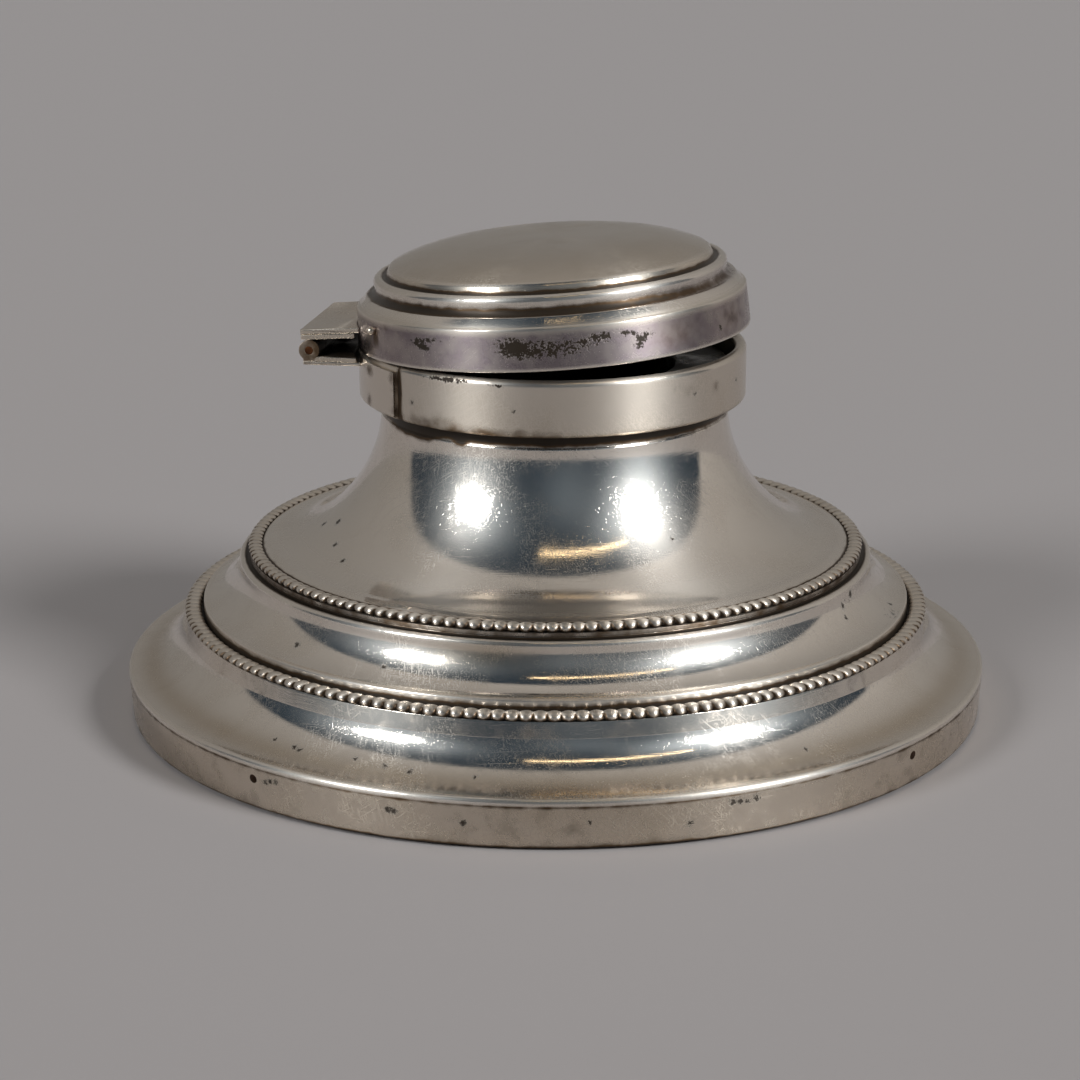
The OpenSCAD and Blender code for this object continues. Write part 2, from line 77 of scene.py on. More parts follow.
# Old pits in the body's silver, each [azimuth in degrees, radius, height, half-width] in millimetres
PITS = (
    (-118.2, 63.35, 4.65, 0.32), (-117.3, 63.37, 4.9, 0.36), (-116.4, 63.38, 5.1, 0.34),
    (-100.6, 63.34, 4.45, 0.4), (-99.9, 63.34, 4.35, 0.42), (-91.4, 63.28, 3.6, 0.4), (-76.5, 63.32, 4.1, 0.25),
    (-64.5, 63.24, 3, 0.38), (-59.2, 63.39, 5.2, 0.45), (-58.3, 63.39, 5.2, 0.4), (-57.3, 63.38, 5, 0.3),
    (-56.1, 63.39, 5.25, 0.42), (-121, 58.43, 8.47, 0.28), (-117.2, 58.57, 8.39, 0.36),
    (-116.2, 58.78, 8.28, 0.36), (-107.5, 58.22, 8.59, 0.3), (-103, 58.57, 8.39, 0.33),
    (-99.4, 58.93, 8.2, 0.4), (-90.8, 58.78, 8.28, 0.26), (-45.8, 58.57, 8.39, 0.28),
    (-127.6, 48.62, 18.18, 0.38), (-108.9, 48.53, 18.26, 0.34), (-17.1, 46.71, 21.55, 0.5),
    (-20.9, 46.9, 20.65, 0.4), (-21.5, 47.69, 19.18, 0.3), (-4.5, 50.05, 17.24, 0.35),
    (-8.4, 51.06, 16.87, 0.3), (-160.1, 34.36, 27.85, 0.42), (-153.9, 32.82, 29.06, 0.5),
    (-144.4, 35.05, 27.37, 0.4), (-135.9, 36.43, 26.56, 0.4), (-48.3, 30.71, 31.19, 0.28),
    (-126, 27.9, 49.31, 0.3), (-92, 27.9, 49.71, 0.22), (-12.9, 27.9, 50.27, 0.28), (-36.1, 27.9, 50.43, 0.22),
)
# The state of each place of the silver: old polish in hollows with painted shade there, thin tarnish, violet
# tarnish, flecks, and dull wear
MARKS = ("grime", "film", "bloom", "stain", "worn")


# ---------- Sizes and colours ----------


def length(name, value, about):
    """A length on the panel. value is in millimetres."""
    return FloatProperty(name=name, description=about, default=value * MM, unit="LENGTH", precision=5)


def colour(name, value, about):
    """A colour on the panel, kept as the hex text that a maker would write down."""
    return StringProperty(name=name, description=about, default=value)


class InkstandSizes(bpy.types.PropertyGroup):
    foot_radius: length("Foot radius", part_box("foot_tier")[1].x / MM, "Radius over the lip of the foot")
    foot_band_height: length("Foot band height", 6.9, "Height of the near-upright foot band")
    lower_tier_width: length("Lower tier width", 9.75, "Step in from the foot lip to the lower beads")
    lower_tier_height: length("Lower tier height", 8.05, "Rise from the foot lip to the lower beads")
    middle_tier_width: length("Middle tier width", 9.45, "Step in from the lower to the upper beads")
    middle_tier_height: length("Middle tier height", 9.15, "Rise from the lower to the upper beads")
    neck_radius: length("Neck radius", 25.4, "Radius of the neck at its narrowest")
    neck_height: length("Neck height", 19.7, "Rise from the upper beads to the narrowest place")
    sheet: length("Sheet", 0.5, "Thickness of the silver sheet")
    lower_bead_pitch: length("Lower bead pitch", 1.845, "Distance from bead to bead, lower row")
    upper_bead_pitch: length("Upper bead pitch", 1.74, "Distance from bead to bead, upper row")
    collar_step: length("Collar step", 2.5, "How far the collar stands out from the neck")
    collar_height: length("Collar height", 8, "Height of the neck collar")
    hinge_standoff: length("Hinge stand-off", 6.35, "Distance from the collar's face to the pin")
    hinge_drop: length("Hinge drop", 0.65, "Distance of the pin below the collar's top")
    hinge_length: length("Hinge length", 20.4, "Length of the hinge along its pin")
    lid_band_height: length("Lid band height", 5.6, "Height of the lid's band")
    lid_moulding_width: length("Lid moulding width", 4.8, "Width of the lid's mouldings")
    dome_height: length("Dome height", 2.9, "Rise of the dome at the middle of the lid")
    lid_ajar: FloatProperty(
        name="Lid ajar", description="Angle at which the lid stands ajar", subtype="ANGLE",
        default=np.radians(3.6))
    columns: IntProperty(
        name="Columns", description="Faces around each turned piece", default=360, min=60, max=720)


class InkstandColours(bpy.types.PropertyGroup):
    silver: colour("Silver", "#E8E0D6", "Sterling silver, rubbed bright but no longer white")
    film: colour("Tarnish film", "#B4A28A", "Thin sulphide film, yellow to brown")
    bloom: colour("Tarnish bloom", "#83757B", "Thicker film, brown to violet")
    # Stain and grime also paint shade: stain at its brown edge and grime at its darkest, in hollows, crevices
    # and under overhangs
    stain: colour("Stain", "#5B4733", "Brown edge of the dirt")
    grime: colour("Grime", "#30271E", "Old polish and tarnish in hollows")
    gilding: colour("Gilding", "#E3B765", "Gold wash inside the lid")
    brass: colour("Brass", "#A9793F", "Aged brass of the well's sleeve")
    pin: colour("Pin", "#5E3A24", "Brass wire of the hinge pin, brown with age")
    glass: colour("Glass", "#F1F6F3", "Clear pressed glass with a faint green")
    ink: colour("Dried ink", "#3A322B", "Brown-black film of dried ink in the liner")
    wood: colour("Wood", "#9A6A3E", "Beech of the base board")
    baize: colour("Baize", "#24402C", "Green baize under the foot")
    plaster: colour("Plaster", "#E4DFD3", "Plaster of Paris loading")
    floor: colour("Floor", "#87817F", "Pale grey studio floor")


def plan(context):
    """Heights and radii that the pieces share, in millimetres, worked out from the panel, and the colours."""
    s = context.scene.inkstand_sizes
    p = SimpleNamespace(**{k: getattr(s, k) / MM for k in InkstandSizes.__annotations__
                           if k not in ("lid_ajar", "columns")})
    p.columns, p.ajar, p.colours = s.columns, s.lid_ajar, context.scene.inkstand_colours
    p.turn_in_z, p.lip_z = 0.35, p.foot_band_height
    p.lower_z = p.lip_z + p.lower_tier_height
    p.upper_z = p.lower_z + p.middle_tier_height
    p.neck_z = p.upper_z + p.neck_height
    p.collar_z = p.neck_z + 2.2
    p.collar_top = p.collar_z + p.collar_height
    p.band_foot_r = p.foot_radius - 0.4
    p.lower_r = p.foot_radius - p.lower_tier_width
    p.upper_r = p.lower_r - p.middle_tier_width
    p.collar_r = p.neck_radius + p.collar_step
    p.lower_n = round(FULL_TURN * p.lower_r / p.lower_bead_pitch)
    p.upper_n = round(FULL_TURN * p.upper_r / p.upper_bead_pitch)
    p.lower_bead = np.pi * p.lower_r / p.lower_n * 0.97
    p.upper_bead = np.pi * p.upper_r / p.upper_n * 0.97
    p.lower_flange_z = p.lower_z - p.lower_bead - STRIP - GAP
    p.upper_flange_z = p.upper_z - p.upper_bead - STRIP - GAP
    p.lower_drop_r = p.lower_r - p.lower_bead - STRIP
    p.upper_drop_r = p.upper_r - p.upper_bead - STRIP
    p.lower_flange_r = p.lower_r + p.lower_bead + SOLDER
    p.upper_flange_r = p.upper_r + p.upper_bead
    p.lap = 2.4 * p.sheet
    p.shoulder_r, p.shoulder_z = p.upper_drop_r - 1.65, p.upper_z + 0.9
    p.tube_r, p.tube_top = p.neck_radius - 0.2, p.collar_z + 2.28
    p.seat_z, p.seat_top = p.tube_top + GAP, p.tube_top + GAP + 0.6
    p.bore_r = p.collar_r - 0.9
    p.sleeve_r = p.tube_r - p.sheet - 2.3
    p.sleeve_floor = p.lip_z - 0.95 + 6.6
    p.pin_x, p.pin_z = -(p.collar_r + p.hinge_standoff), p.collar_top - p.hinge_drop
    p.lid_z = p.collar_top - 0.75
    p.lid_r = p.collar_r + 0.2 + LID_SHEET
    p.arris_r, p.arris_z = p.lid_r - 0.35, p.lid_z + p.lid_band_height
    p.panel_r = p.arris_r - p.lid_moulding_width
    p.lining_r = p.arris_r - LID_SHEET - GAP
    p.seat_ring_z, p.seat_ring_t = p.collar_top + 0.15, 0.55
    return p


# ---------- Outlines, in millimetres as [radius, height] ----------


def hollow(r0, z0, r1, z1, fullness=1.75, steps=60):
    """Cavetto from [r0, z0], upright, to [r1, z1], level: 1 - cos^k and sin^k of an angle, k = 2 / fullness."""
    a, k = np.linspace(0, np.pi / 2, steps), 2 / fullness
    return np.column_stack((r0 + (r1 - r0) * (1 - np.cos(a) ** k), z0 - (z0 - z1) * np.sin(a) ** k))


def arc(cr, cz, radius, start, end, steps=13):
    """Circular arc about [cr, cz] from the angle start to the angle end, in degrees."""
    a = np.radians(np.linspace(start, end, steps))
    return np.column_stack((cr + radius * np.cos(a), cz + radius * np.sin(a)))


def crown(radius, base_z, rise, full_radius, power, steps=60):
    """Dome from its edge in to the axis: height = base + rise * (1 - (r / full radius) ^ power)."""
    r = np.linspace(radius, 0, steps)
    return np.column_stack((r, base_z + rise * (1 - (r / full_radius) ** power)))


def softened(outline, count, width=0.09, on_axis=False, step=0.02):
    """Closed outline with every arris slightly rounded, cut to count points that crowd where it bends.

    It's walked at even steps and blurred with a bell curve of that width, which is a product with
    another bell curve in its spectrum. One that starts and ends on the axis is first mirrored in it.
    """
    loop = np.vstack((outline, outline[::-1] * (-1, 1))) if on_axis else np.asarray(outline, float)
    loop = np.vstack((loop, loop[:1]))
    along = np.concatenate(([0], np.cumsum(np.hypot(*np.diff(loop, axis=0).T))))
    n = 2 * int(along[-1] / step / 2)
    t = np.linspace(0, along[-1], n, endpoint=False)
    even = np.column_stack([np.interp(t, along, loop[:, k]) for k in (0, 1)])
    bell = np.exp(-2 * (np.pi * np.fft.fftfreq(n, along[-1] / n) * width) ** 2)
    soft = np.fft.ifft(np.fft.fft(even, axis=0) * bell[:, None], axis=0).real
    first = (np.roll(soft, -1, 0) - np.roll(soft, 1, 0)) / (2 * step)
    second = (np.roll(soft, -1, 0) - 2 * soft + np.roll(soft, 1, 0)) / step**2
    bend = np.abs(first[:, 0] * second[:, 1] - first[:, 1] * second[:, 0])
    if on_axis:
        soft, bend = soft[: n // 2], bend[: n // 2]
    crowd = np.concatenate(([0], np.cumsum(0.25 + np.minimum(bend, 6))))
    picks = np.interp(np.linspace(0, crowd[-1], count, endpoint=on_axis), crowd, np.arange(len(crowd)))
    ring = np.vstack((soft, soft[-1:] if on_axis else soft[:1]))
    cut = np.column_stack([np.interp(picks, np.arange(len(ring)), ring[:, k]) for k in (0, 1)])
    if on_axis:
        cut[[0, -1], 0] = 0
    return cut


def outward(points, closed=True):
    """Unit normals of an outline that runs clockwise as seen with radius to the right and height up."""
    d = np.roll(points, -1, 0) - np.roll(points, 1, 0)
    if not closed:
        d[0], d[-1] = points[1] - points[0], points[-1] - points[-2]
    return np.column_stack((-d[:, 1], d[:, 0])) / np.maximum(np.hypot(*d.T), 1e-9)[:, None]


def closed_in(points, normals, walls, reach, rays=24):
    """Share of an arc of sight lines round each normal that meet a wall within reach, nearer counting more."""
    spread = np.radians(np.linspace(-80, 80, rays))
    c, s = np.cos(spread), np.sin(spread)
    d = np.stack((normals[:, :1] * c - normals[:, 1:] * s, normals[:, :1] * s + normals[:, 1:] * c), -1)
    start = (points + normals * 0.03)[:, None, None]
    a, b = walls[:, 0], walls[:, 1]
    e, w, d = b - a, a - start, d[:, :, None]
    cross = d[..., 0] * e[:, 1] - d[..., 1] * e[:, 0]
    cross = np.where(np.abs(cross) < 1e-12, 1e-12, cross)
    t = (w[..., 0] * e[:, 1] - w[..., 1] * e[:, 0]) / cross
    u = (w[..., 0] * d[..., 1] - w[..., 1] * d[..., 0]) / cross
    near = np.where((t > 0) & (t < reach) & (u >= 0) & (u <= 1), 1 - t / reach, 0).max(-1)
    return (near * c).sum(1) / c.sum()


def foot_outline(p):
    t, top_z, top_r = p.sheet, p.lower_flange_z - p.sheet - GAP, p.lower_flange_r
    lip_r, lip_top = p.foot_radius - LIP, p.lip_z + 0.25
    flange_r, turn_in_r = p.lower_drop_r - p.lap, p.band_foot_r - TURN_IN
    outer = np.vstack(([[flange_r, top_z], [top_r - 0.3, top_z]], hollow(top_r, top_z - t, lip_r, lip_top)[6:],
                       arc(lip_r, lip_top - LIP, LIP, 90, 0),
                       arc(p.band_foot_r - EDGE, p.turn_in_z + EDGE, EDGE, 0, -90),
                       [[turn_in_r, p.turn_in_z], [turn_in_r, p.turn_in_z + t]]))
    inner = np.vstack(([[top_r - t, top_z - t]], hollow(top_r - t, top_z - 2 * t, lip_r - t, lip_top - t),
                       [[p.foot_radius - 0.2 - t, p.lip_z - 2 * t], [p.band_foot_r - t, p.turn_in_z + t]]))
    return softened(np.vstack((outer, inner[::-1], [[flange_r, top_z - t]])), 250)


def middle_outline(p):
    t, top_z, top_r = p.sheet, p.upper_flange_z - p.sheet - GAP, p.upper_flange_r
    ridge_r, ridge_z = top_r + 0.9, top_z + 0.27 - RIDGE
    wall_r, wall_z = ridge_r + RIDGE, ridge_z - 1.2 + RIDGE
    lip_r, lip_z, lip = p.lower_drop_r - 0.65, p.lower_z + 1.8, 0.25
    flange_r, apron_r, apron_z = p.upper_drop_r - p.lap, p.lower_flange_r - 0.35, p.lower_flange_z
    outer = np.vstack(([[flange_r, top_z], [top_r, top_z]], arc(ridge_r, ridge_z, RIDGE, 135, 0),
                       hollow(wall_r, wall_z, lip_r - lip, lip_z), arc(lip_r - lip, lip_z - lip, lip, 90, 0),
                       [[lip_r, apron_z], [apron_r, apron_z], [apron_r, apron_z - t], [lip_r - t, apron_z - t]]))
    inner = np.vstack(([[wall_r - t, top_z - t]], hollow(wall_r - t, wall_z, lip_r - t, lip_z - t),
                       [[lip_r - t, apron_z + t]]))
    return softened(np.vstack((outer, inner[::-1], [[flange_r, top_z - t]])), 240)


def neck_outline(p):
    t, edge_z, drop_r, foot_z = p.sheet, p.shoulder_z - 0.45, p.upper_drop_r, p.upper_flange_z
    outer = np.vstack(([[p.tube_r, p.tube_top], [p.tube_r, p.neck_z + 0.2]],
                       hollow(p.neck_radius, p.neck_z, p.shoulder_r, p.shoulder_z),
                       [[drop_r - 0.3, edge_z + 0.075], [drop_r, edge_z - 0.3], [drop_r, foot_z],
                        [p.upper_flange_r, foot_z], [p.upper_flange_r, foot_z - t], [drop_r - t, foot_z - t]]))
    inner = np.vstack(([[p.tube_r - t, p.tube_top], [p.tube_r - t, p.neck_z]],
                       hollow(p.neck_radius - t, p.neck_z - t, p.shoulder_r, p.shoulder_z - t),
                       [[drop_r - t, edge_z - t]]))
    return softened(np.vstack((outer, inner[::-1])), 240)


def collar_outline(p):
    rim = arc(p.collar_r - RIM, p.collar_top - RIM, RIM, 0, 250, 40)[::-1]
    foot = arc(p.collar_r - 0.6, p.collar_z + 0.6, 0.6, 0, -90)
    inner_r, ledge_z = p.tube_r + GAP, p.collar_z + 0.9
    inner = [[inner_r, p.collar_z], [inner_r, ledge_z], [p.bore_r, ledge_z], [p.bore_r, p.collar_top - 2 * RIM]]
    return softened(np.vstack((rim, foot, inner)), 130)


def ring_outline(r0, r1, z0, z1):
    return softened(np.array([[r0, z1], [r1, z1], [r1, z0], [r0, z0]], float), 48, width=0.05)


def liner_outline(p):
    r, edge = p.sleeve_r - 0.35 - 0.75, 0.6
    bore, flange_r = r - 3.8, p.collar_r - 2 * RIM - 0.5
    z0 = p.sleeve_floor + 0.35 + 0.45
    floor, flange_z, top = z0 + 3.8, p.seat_top + 0.03, p.seat_top + 2.03
    return softened(np.vstack((
        [[0, floor]], arc(bore - 4, floor + 4, 4, -90, 0), arc(bore + edge, top - edge, edge, 180, 90),
        arc(flange_r - edge, top - edge, edge, 90, 0), arc(flange_r - edge, flange_z + edge, edge, 0, -90),
        [[r, flange_z]], arc(r - 2, z0 + 2, 2, 0, -90), [[0, z0]])), 150, on_axis=True)


def lid_outline(p):
    """Lid shell, drawn shut, from the middle of the dome out, down and back up inside."""
    t, cove_z, arris = LID_SHEET, p.arris_z + 1.6, 0.35
    ring_r, ring_z = p.panel_r + 0.28 * p.lid_moulding_width, cove_z + 1.8
    wall_r, groove_z = ring_r + RIM - 0.1, ring_z + 0.65
    panel_z, edge_r = groove_z + 1.3, p.panel_r - arris
    outer = np.vstack((crown(edge_r, panel_z, p.dome_height, p.panel_r, 4)[::-1],
                       arc(edge_r, panel_z - arris, arris, 60, 0), [[p.panel_r + 0.45, groove_z]],
                       arc(ring_r, ring_z, RIM, 130, 0), arc(wall_r + 1, cove_z + 1, 1, 180, 270),
                       [[wall_r + 1.25, cove_z]], arc(p.arris_r - arris, p.arris_z, arris, 90, 0),
                       [[p.lid_r, p.lid_z]]))
    inner = np.vstack(([[p.lid_r - t, p.lid_z], [p.arris_r - t, p.arris_z - t], [wall_r + 1.25 - t, cove_z - t],
                        [wall_r - t, cove_z - t], [wall_r - t, groove_z - t], [edge_r - t, groove_z - t]],
                       crown(edge_r - t, panel_z - t, p.dome_height, p.panel_r, 4)))
    return softened(np.vstack((outer, inner)), 240, width=0.07, on_axis=True)


def lining_outline(p):
    z, saucer = p.seat_ring_z + p.seat_ring_t + GAP, p.collar_r - 3.5
    under = np.vstack(([[p.lining_r, z]], crown(saucer, z, 2.6, saucer, 2)))
    return softened(np.vstack(((under + (0, 0.45))[::-1], under)), 90, width=0.06, on_axis=True)


# ---------- Skins: vertices, faces, and the row of each vertex ----------


def lattice(points, wrap_rows=False):
    """Vertices and faces of a grid of points that closes along its columns.

    A row whose points coincide becomes one vertex, and its faces triangles.
    """
    rows, columns = points.shape[:2]
    single = (np.ptp(points[:, :, 0], axis=1) < 1e-7) & (np.ptp(points[:, :, 1], axis=1) < 1e-7)
    sizes = np.where(single, 1, columns)
    first = np.concatenate(([0], np.cumsum(sizes)))[:-1]
    index = first[:, None] + np.where(single[:, None], 0, np.arange(columns))
    i, j = np.meshgrid(np.arange(rows if wrap_rows else rows - 1), np.arange(columns), indexing="ij")
    i2, j2 = (i + 1) % rows, (j + 1) % columns
    quads = np.stack((index[i, j], index[i2, j], index[i2, j2], index[i, j2]), -1).reshape(-1, 4)
    top, bottom = quads[:, 0] == quads[:, 3], quads[:, 1] == quads[:, 2]
    kept = np.arange(columns)[None] < sizes[:, None]
    faces = [quads[~top & ~bottom], quads[top & ~bottom][:, :3], quads[bottom & ~top][:, [0, 1, 3]]]
    return points[kept], faces, np.repeat(np.arange(rows), sizes)


def turned(outline, columns, closed=True):
    """Surface of revolution: x = r cos a, y = r sin a, z = z, for each outline point and each angle a."""
    a = np.linspace(0, FULL_TURN, columns, endpoint=False)
    r, z = outline[:, :1], outline[:, 1:]
    return lattice(np.stack((r * np.cos(a), r * np.sin(a), z + 0 * a), -1), wrap_rows=closed)


def carried(section, stops, edge, place, steps=5):
    """A closed section carried between two stops, its ends drawn in on a quarter circle and closed flat.

    place turns arrays of section x, section z and distance along into points in space.
    """
    a = np.linspace(0, np.pi / 2, steps)
    drawn_in, short = edge * (1 - np.sin(a)), edge * (1 - np.cos(a))
    middle = np.linspace(stops[0] + edge, stops[1] - edge, 26)[1:-1]
    inset = np.concatenate((drawn_in, 0 * middle, drawn_in[::-1]))
    along = np.concatenate((stops[0] + short, middle, stops[1] - short[::-1]))
    shape = section[None] - outward(section)[None] * inset[:, None, None]
    grid = place(shape[..., 0], shape[..., 1], np.broadcast_to(along[:, None], shape.shape[:2]))
    verts, faces, row = lattice(grid)
    n = len(section)
    last = (len(along) - 1) * n
    return verts, faces + [np.arange(n)[None], last + np.arange(n)[None, ::-1]], row


def joined(*skins):
    """Several skins as one."""
    verts, faces, start = [], [], 0
    for v, f, _ in skins:
        verts.append(v)
        faces += [g + start for g in f if len(g)]
        start += len(v)
    return np.vstack(verts), faces, None


def piece(name, skin, body, node, finish, marks=None):
    """A mesh object from a skin in millimetres, its marks as attributes, riding on a body for a frame node."""
    verts, faces, _ = skin
    mesh = bpy.data.meshes.new(name)
    mesh.from_pydata(verts * MM, [], [f for group in faces for f in group.tolist()])
    flat = np.concatenate([np.full(len(g), g.shape[1] > 4) for g in faces if len(g)])
    mesh.polygons.foreach_set("use_smooth", ~flat)
    for mark, values in (marks or {}).items():
        mesh.attributes.new(mark, "FLOAT", "POINT").data.foreach_set("value", values.astype(np.float32))
    mesh.update()
    mesh.materials.append(finish)
    made = bpy.data.objects.new(name, mesh)
    bpy.context.collection.objects.link(made)
    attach(made, body)
    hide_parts(node)


def beads(ring_r, ring_z, half, count, rows=6, columns=12):
    """Ellipsoids round a ring: out, along and up are the half-widths times sin v cos u, sin v sin u, cos v.

    Returns the skin, and each vertex's place on its own ellipsoid as shares of the half-widths.
    """
    v, u = np.linspace(0, np.pi, rows + 1)[:, None], np.linspace(0, FULL_TURN, columns, endpoint=False)
    one, faces, _ = lattice(np.stack((np.sin(v) * np.cos(u), np.sin(v) * np.sin(u), np.cos(v) + 0 * u), -1))
    a = FULL_TURN * np.arange(count)[:, None] / count
    out, along, up = (one * half).T
    verts = np.stack(((ring_r + out) * np.cos(a) - along * np.sin(a),
                      (ring_r + out) * np.sin(a) + along * np.cos(a), ring_z + up + 0 * a), -1).reshape(-1, 3)
    start = len(one) * np.arange(count)[:, None, None]
    return (verts, [(f + start).reshape(-1, f.shape[1]) for f in faces], None), np.tile(one, (count, 1))


def tipped(skin, p):
    """A skin turned about the hinge pin, from shut to ajar."""
    x, y, z = (skin[0] - (p.pin_x, 0, p.pin_z)).T
    c, s = np.cos(p.ajar), np.sin(p.ajar)
    return np.column_stack((c * x - s * z + p.pin_x, y, s * x + c * z + p.pin_z)), *skin[1:]


# ---------- Marks ----------


def even_marks(skin, grime=0.0, film=0.15, bloom=0.0, stain=0.0, worn=0.05):
    """The five marks, given as numbers or arrays over a skin."""
    none = np.zeros(len(skin[0]))
    return {k: v + none for k, v in zip(MARKS, (grime, film, bloom, stain, worn))}


def marks_of(outline, skin, walls, closed=True, film=0.1, worn=0.04):
    """The five marks of a turned skin. Where walls close the outline in within 2.2 mm it gets painted shade,
    which also stands for old polish there.
    """
    shut = closed_in(outline, outward(outline, closed), walls, 2.2)[skin[2]]
    return even_marks(skin, shut, film, stain=0.12, worn=worn)


def rings(verts, rows):
    """Soft bands round the axis, each [radius, height, width, strength], by distance in the profile."""
    r, z = np.hypot(verts[:, 0], verts[:, 1]), verts[:, 2]
    total = np.zeros(len(verts))
    for radius, height, width, strength in rows:
        total = np.maximum(total, strength * np.exp(-((r - radius) ** 2 + (z - height) ** 2) / width**2))
    return total


def spots(verts, rows):
    """Soft patches on a turned skin, each [azimuth in degrees, height, width along, width up, strength]."""
    x, y, z = verts.T
    r, a = np.hypot(x, y), np.degrees(np.arctan2(y, x))
    total = np.zeros(len(verts))
    for azimuth, height, along, up, strength in rows:
        turn = (a - azimuth + 180) % 360 - 180
        total += strength * np.exp(-((np.radians(turn) * r / along) ** 2) - ((z - height) / up) ** 2)
    return total


def weathered(marks, skin, **rows_of):
    """Adds bands and patches to the marks. A row of four numbers is a band, and a row of five a patch."""
    for mark, rows in rows_of.items():
        marks[mark] += rings(skin[0], [row for row in rows if len(row) == 4])
        marks[mark] += spots(skin[0], [row for row in rows if len(row) == 5])


def segments(*outlines):
    """The sides of several closed outlines, as [side, end, radius and height]."""
    return np.concatenate([np.stack((o, np.roll(o, -1, 0)), 1) for o in outlines])


# ---------- Finishes ----------


def linear(text):
    """Linear colour of an sRGB hex value."""
    c = np.array([int(text[i:i + 2], 16) for i in (1, 3, 5)]) / 255
    return (*np.where(c <= 0.04045, c / 12.92, ((c + 0.055) / 1.055) ** 2.4), 1.0)


def add(tree, kind, inputs=(), operation=None, **settings):
    """Adds a node with its settings. Its inputs, in order or by name, each take a number, a colour, an output,
    or a node's first output in use."""
    made = tree.nodes.new("ShaderNode" + kind)
    if operation:
        made.operation = operation
    for key, value in settings.items():
        setattr(made, key, value)
    for key, value in inputs.items() if isinstance(inputs, dict) else enumerate(inputs):
        if isinstance(value, bpy.types.Node):
            value = next(o for o in value.outputs if o.enabled)
        if isinstance(value, bpy.types.NodeSocket):
            tree.links.new(value, made.inputs[key])
        else:
            made.inputs[key].default_value = value
    return made


def started(name, turn=(0, 0, 0), shift=(0, 0, 0)):
    """A new material, its tree, and the place on the piece in millimetres."""
    made = bpy.data.materials.new(name)
    made.use_nodes = True
    t = made.node_tree
    t.nodes.clear()
    return made, t, add(t, "Mapping", {"Vector": add(t, "TexCoord").outputs["Object"], "Scale": (1 / MM,) * 3,
                                       "Rotation": turn, "Location": shift})


def covered(made, inputs):
    """The material, with a shader of those inputs as its surface."""
    add(made.node_tree, "OutputMaterial", {"Surface": add(made.node_tree, "BsdfPrincipled", inputs)})
    return made


def masked(t, value, low, high, top=1.0, bottom=0.0):
    """Smooth step of a value, from bottom at low to top at high."""
    return add(t, "MapRange", (value, low, high, bottom, top), interpolation_type="SMOOTHSTEP")


def most(t, *values):
    """The greatest of several values."""
    out = values[0]
    for value in values[1:]:
        out = add(t, "Math", (out, value), "MAXIMUM")
    return out


def pitted(t, place, pits):
    """1 inside any of the listed pits, each [azimuth in degrees, radius, height, half-width] in millimetres."""
    near = []
    for azimuth, radius, height, half in pits:
        a = np.radians(azimuth)
        away = add(t, "VectorMath", (place, (radius * np.cos(a), radius * np.sin(a), height)), "DISTANCE")
        near.append(masked(t, away.outputs["Value"], half * 1.8, half * 0.6))
    return most(t, *near)


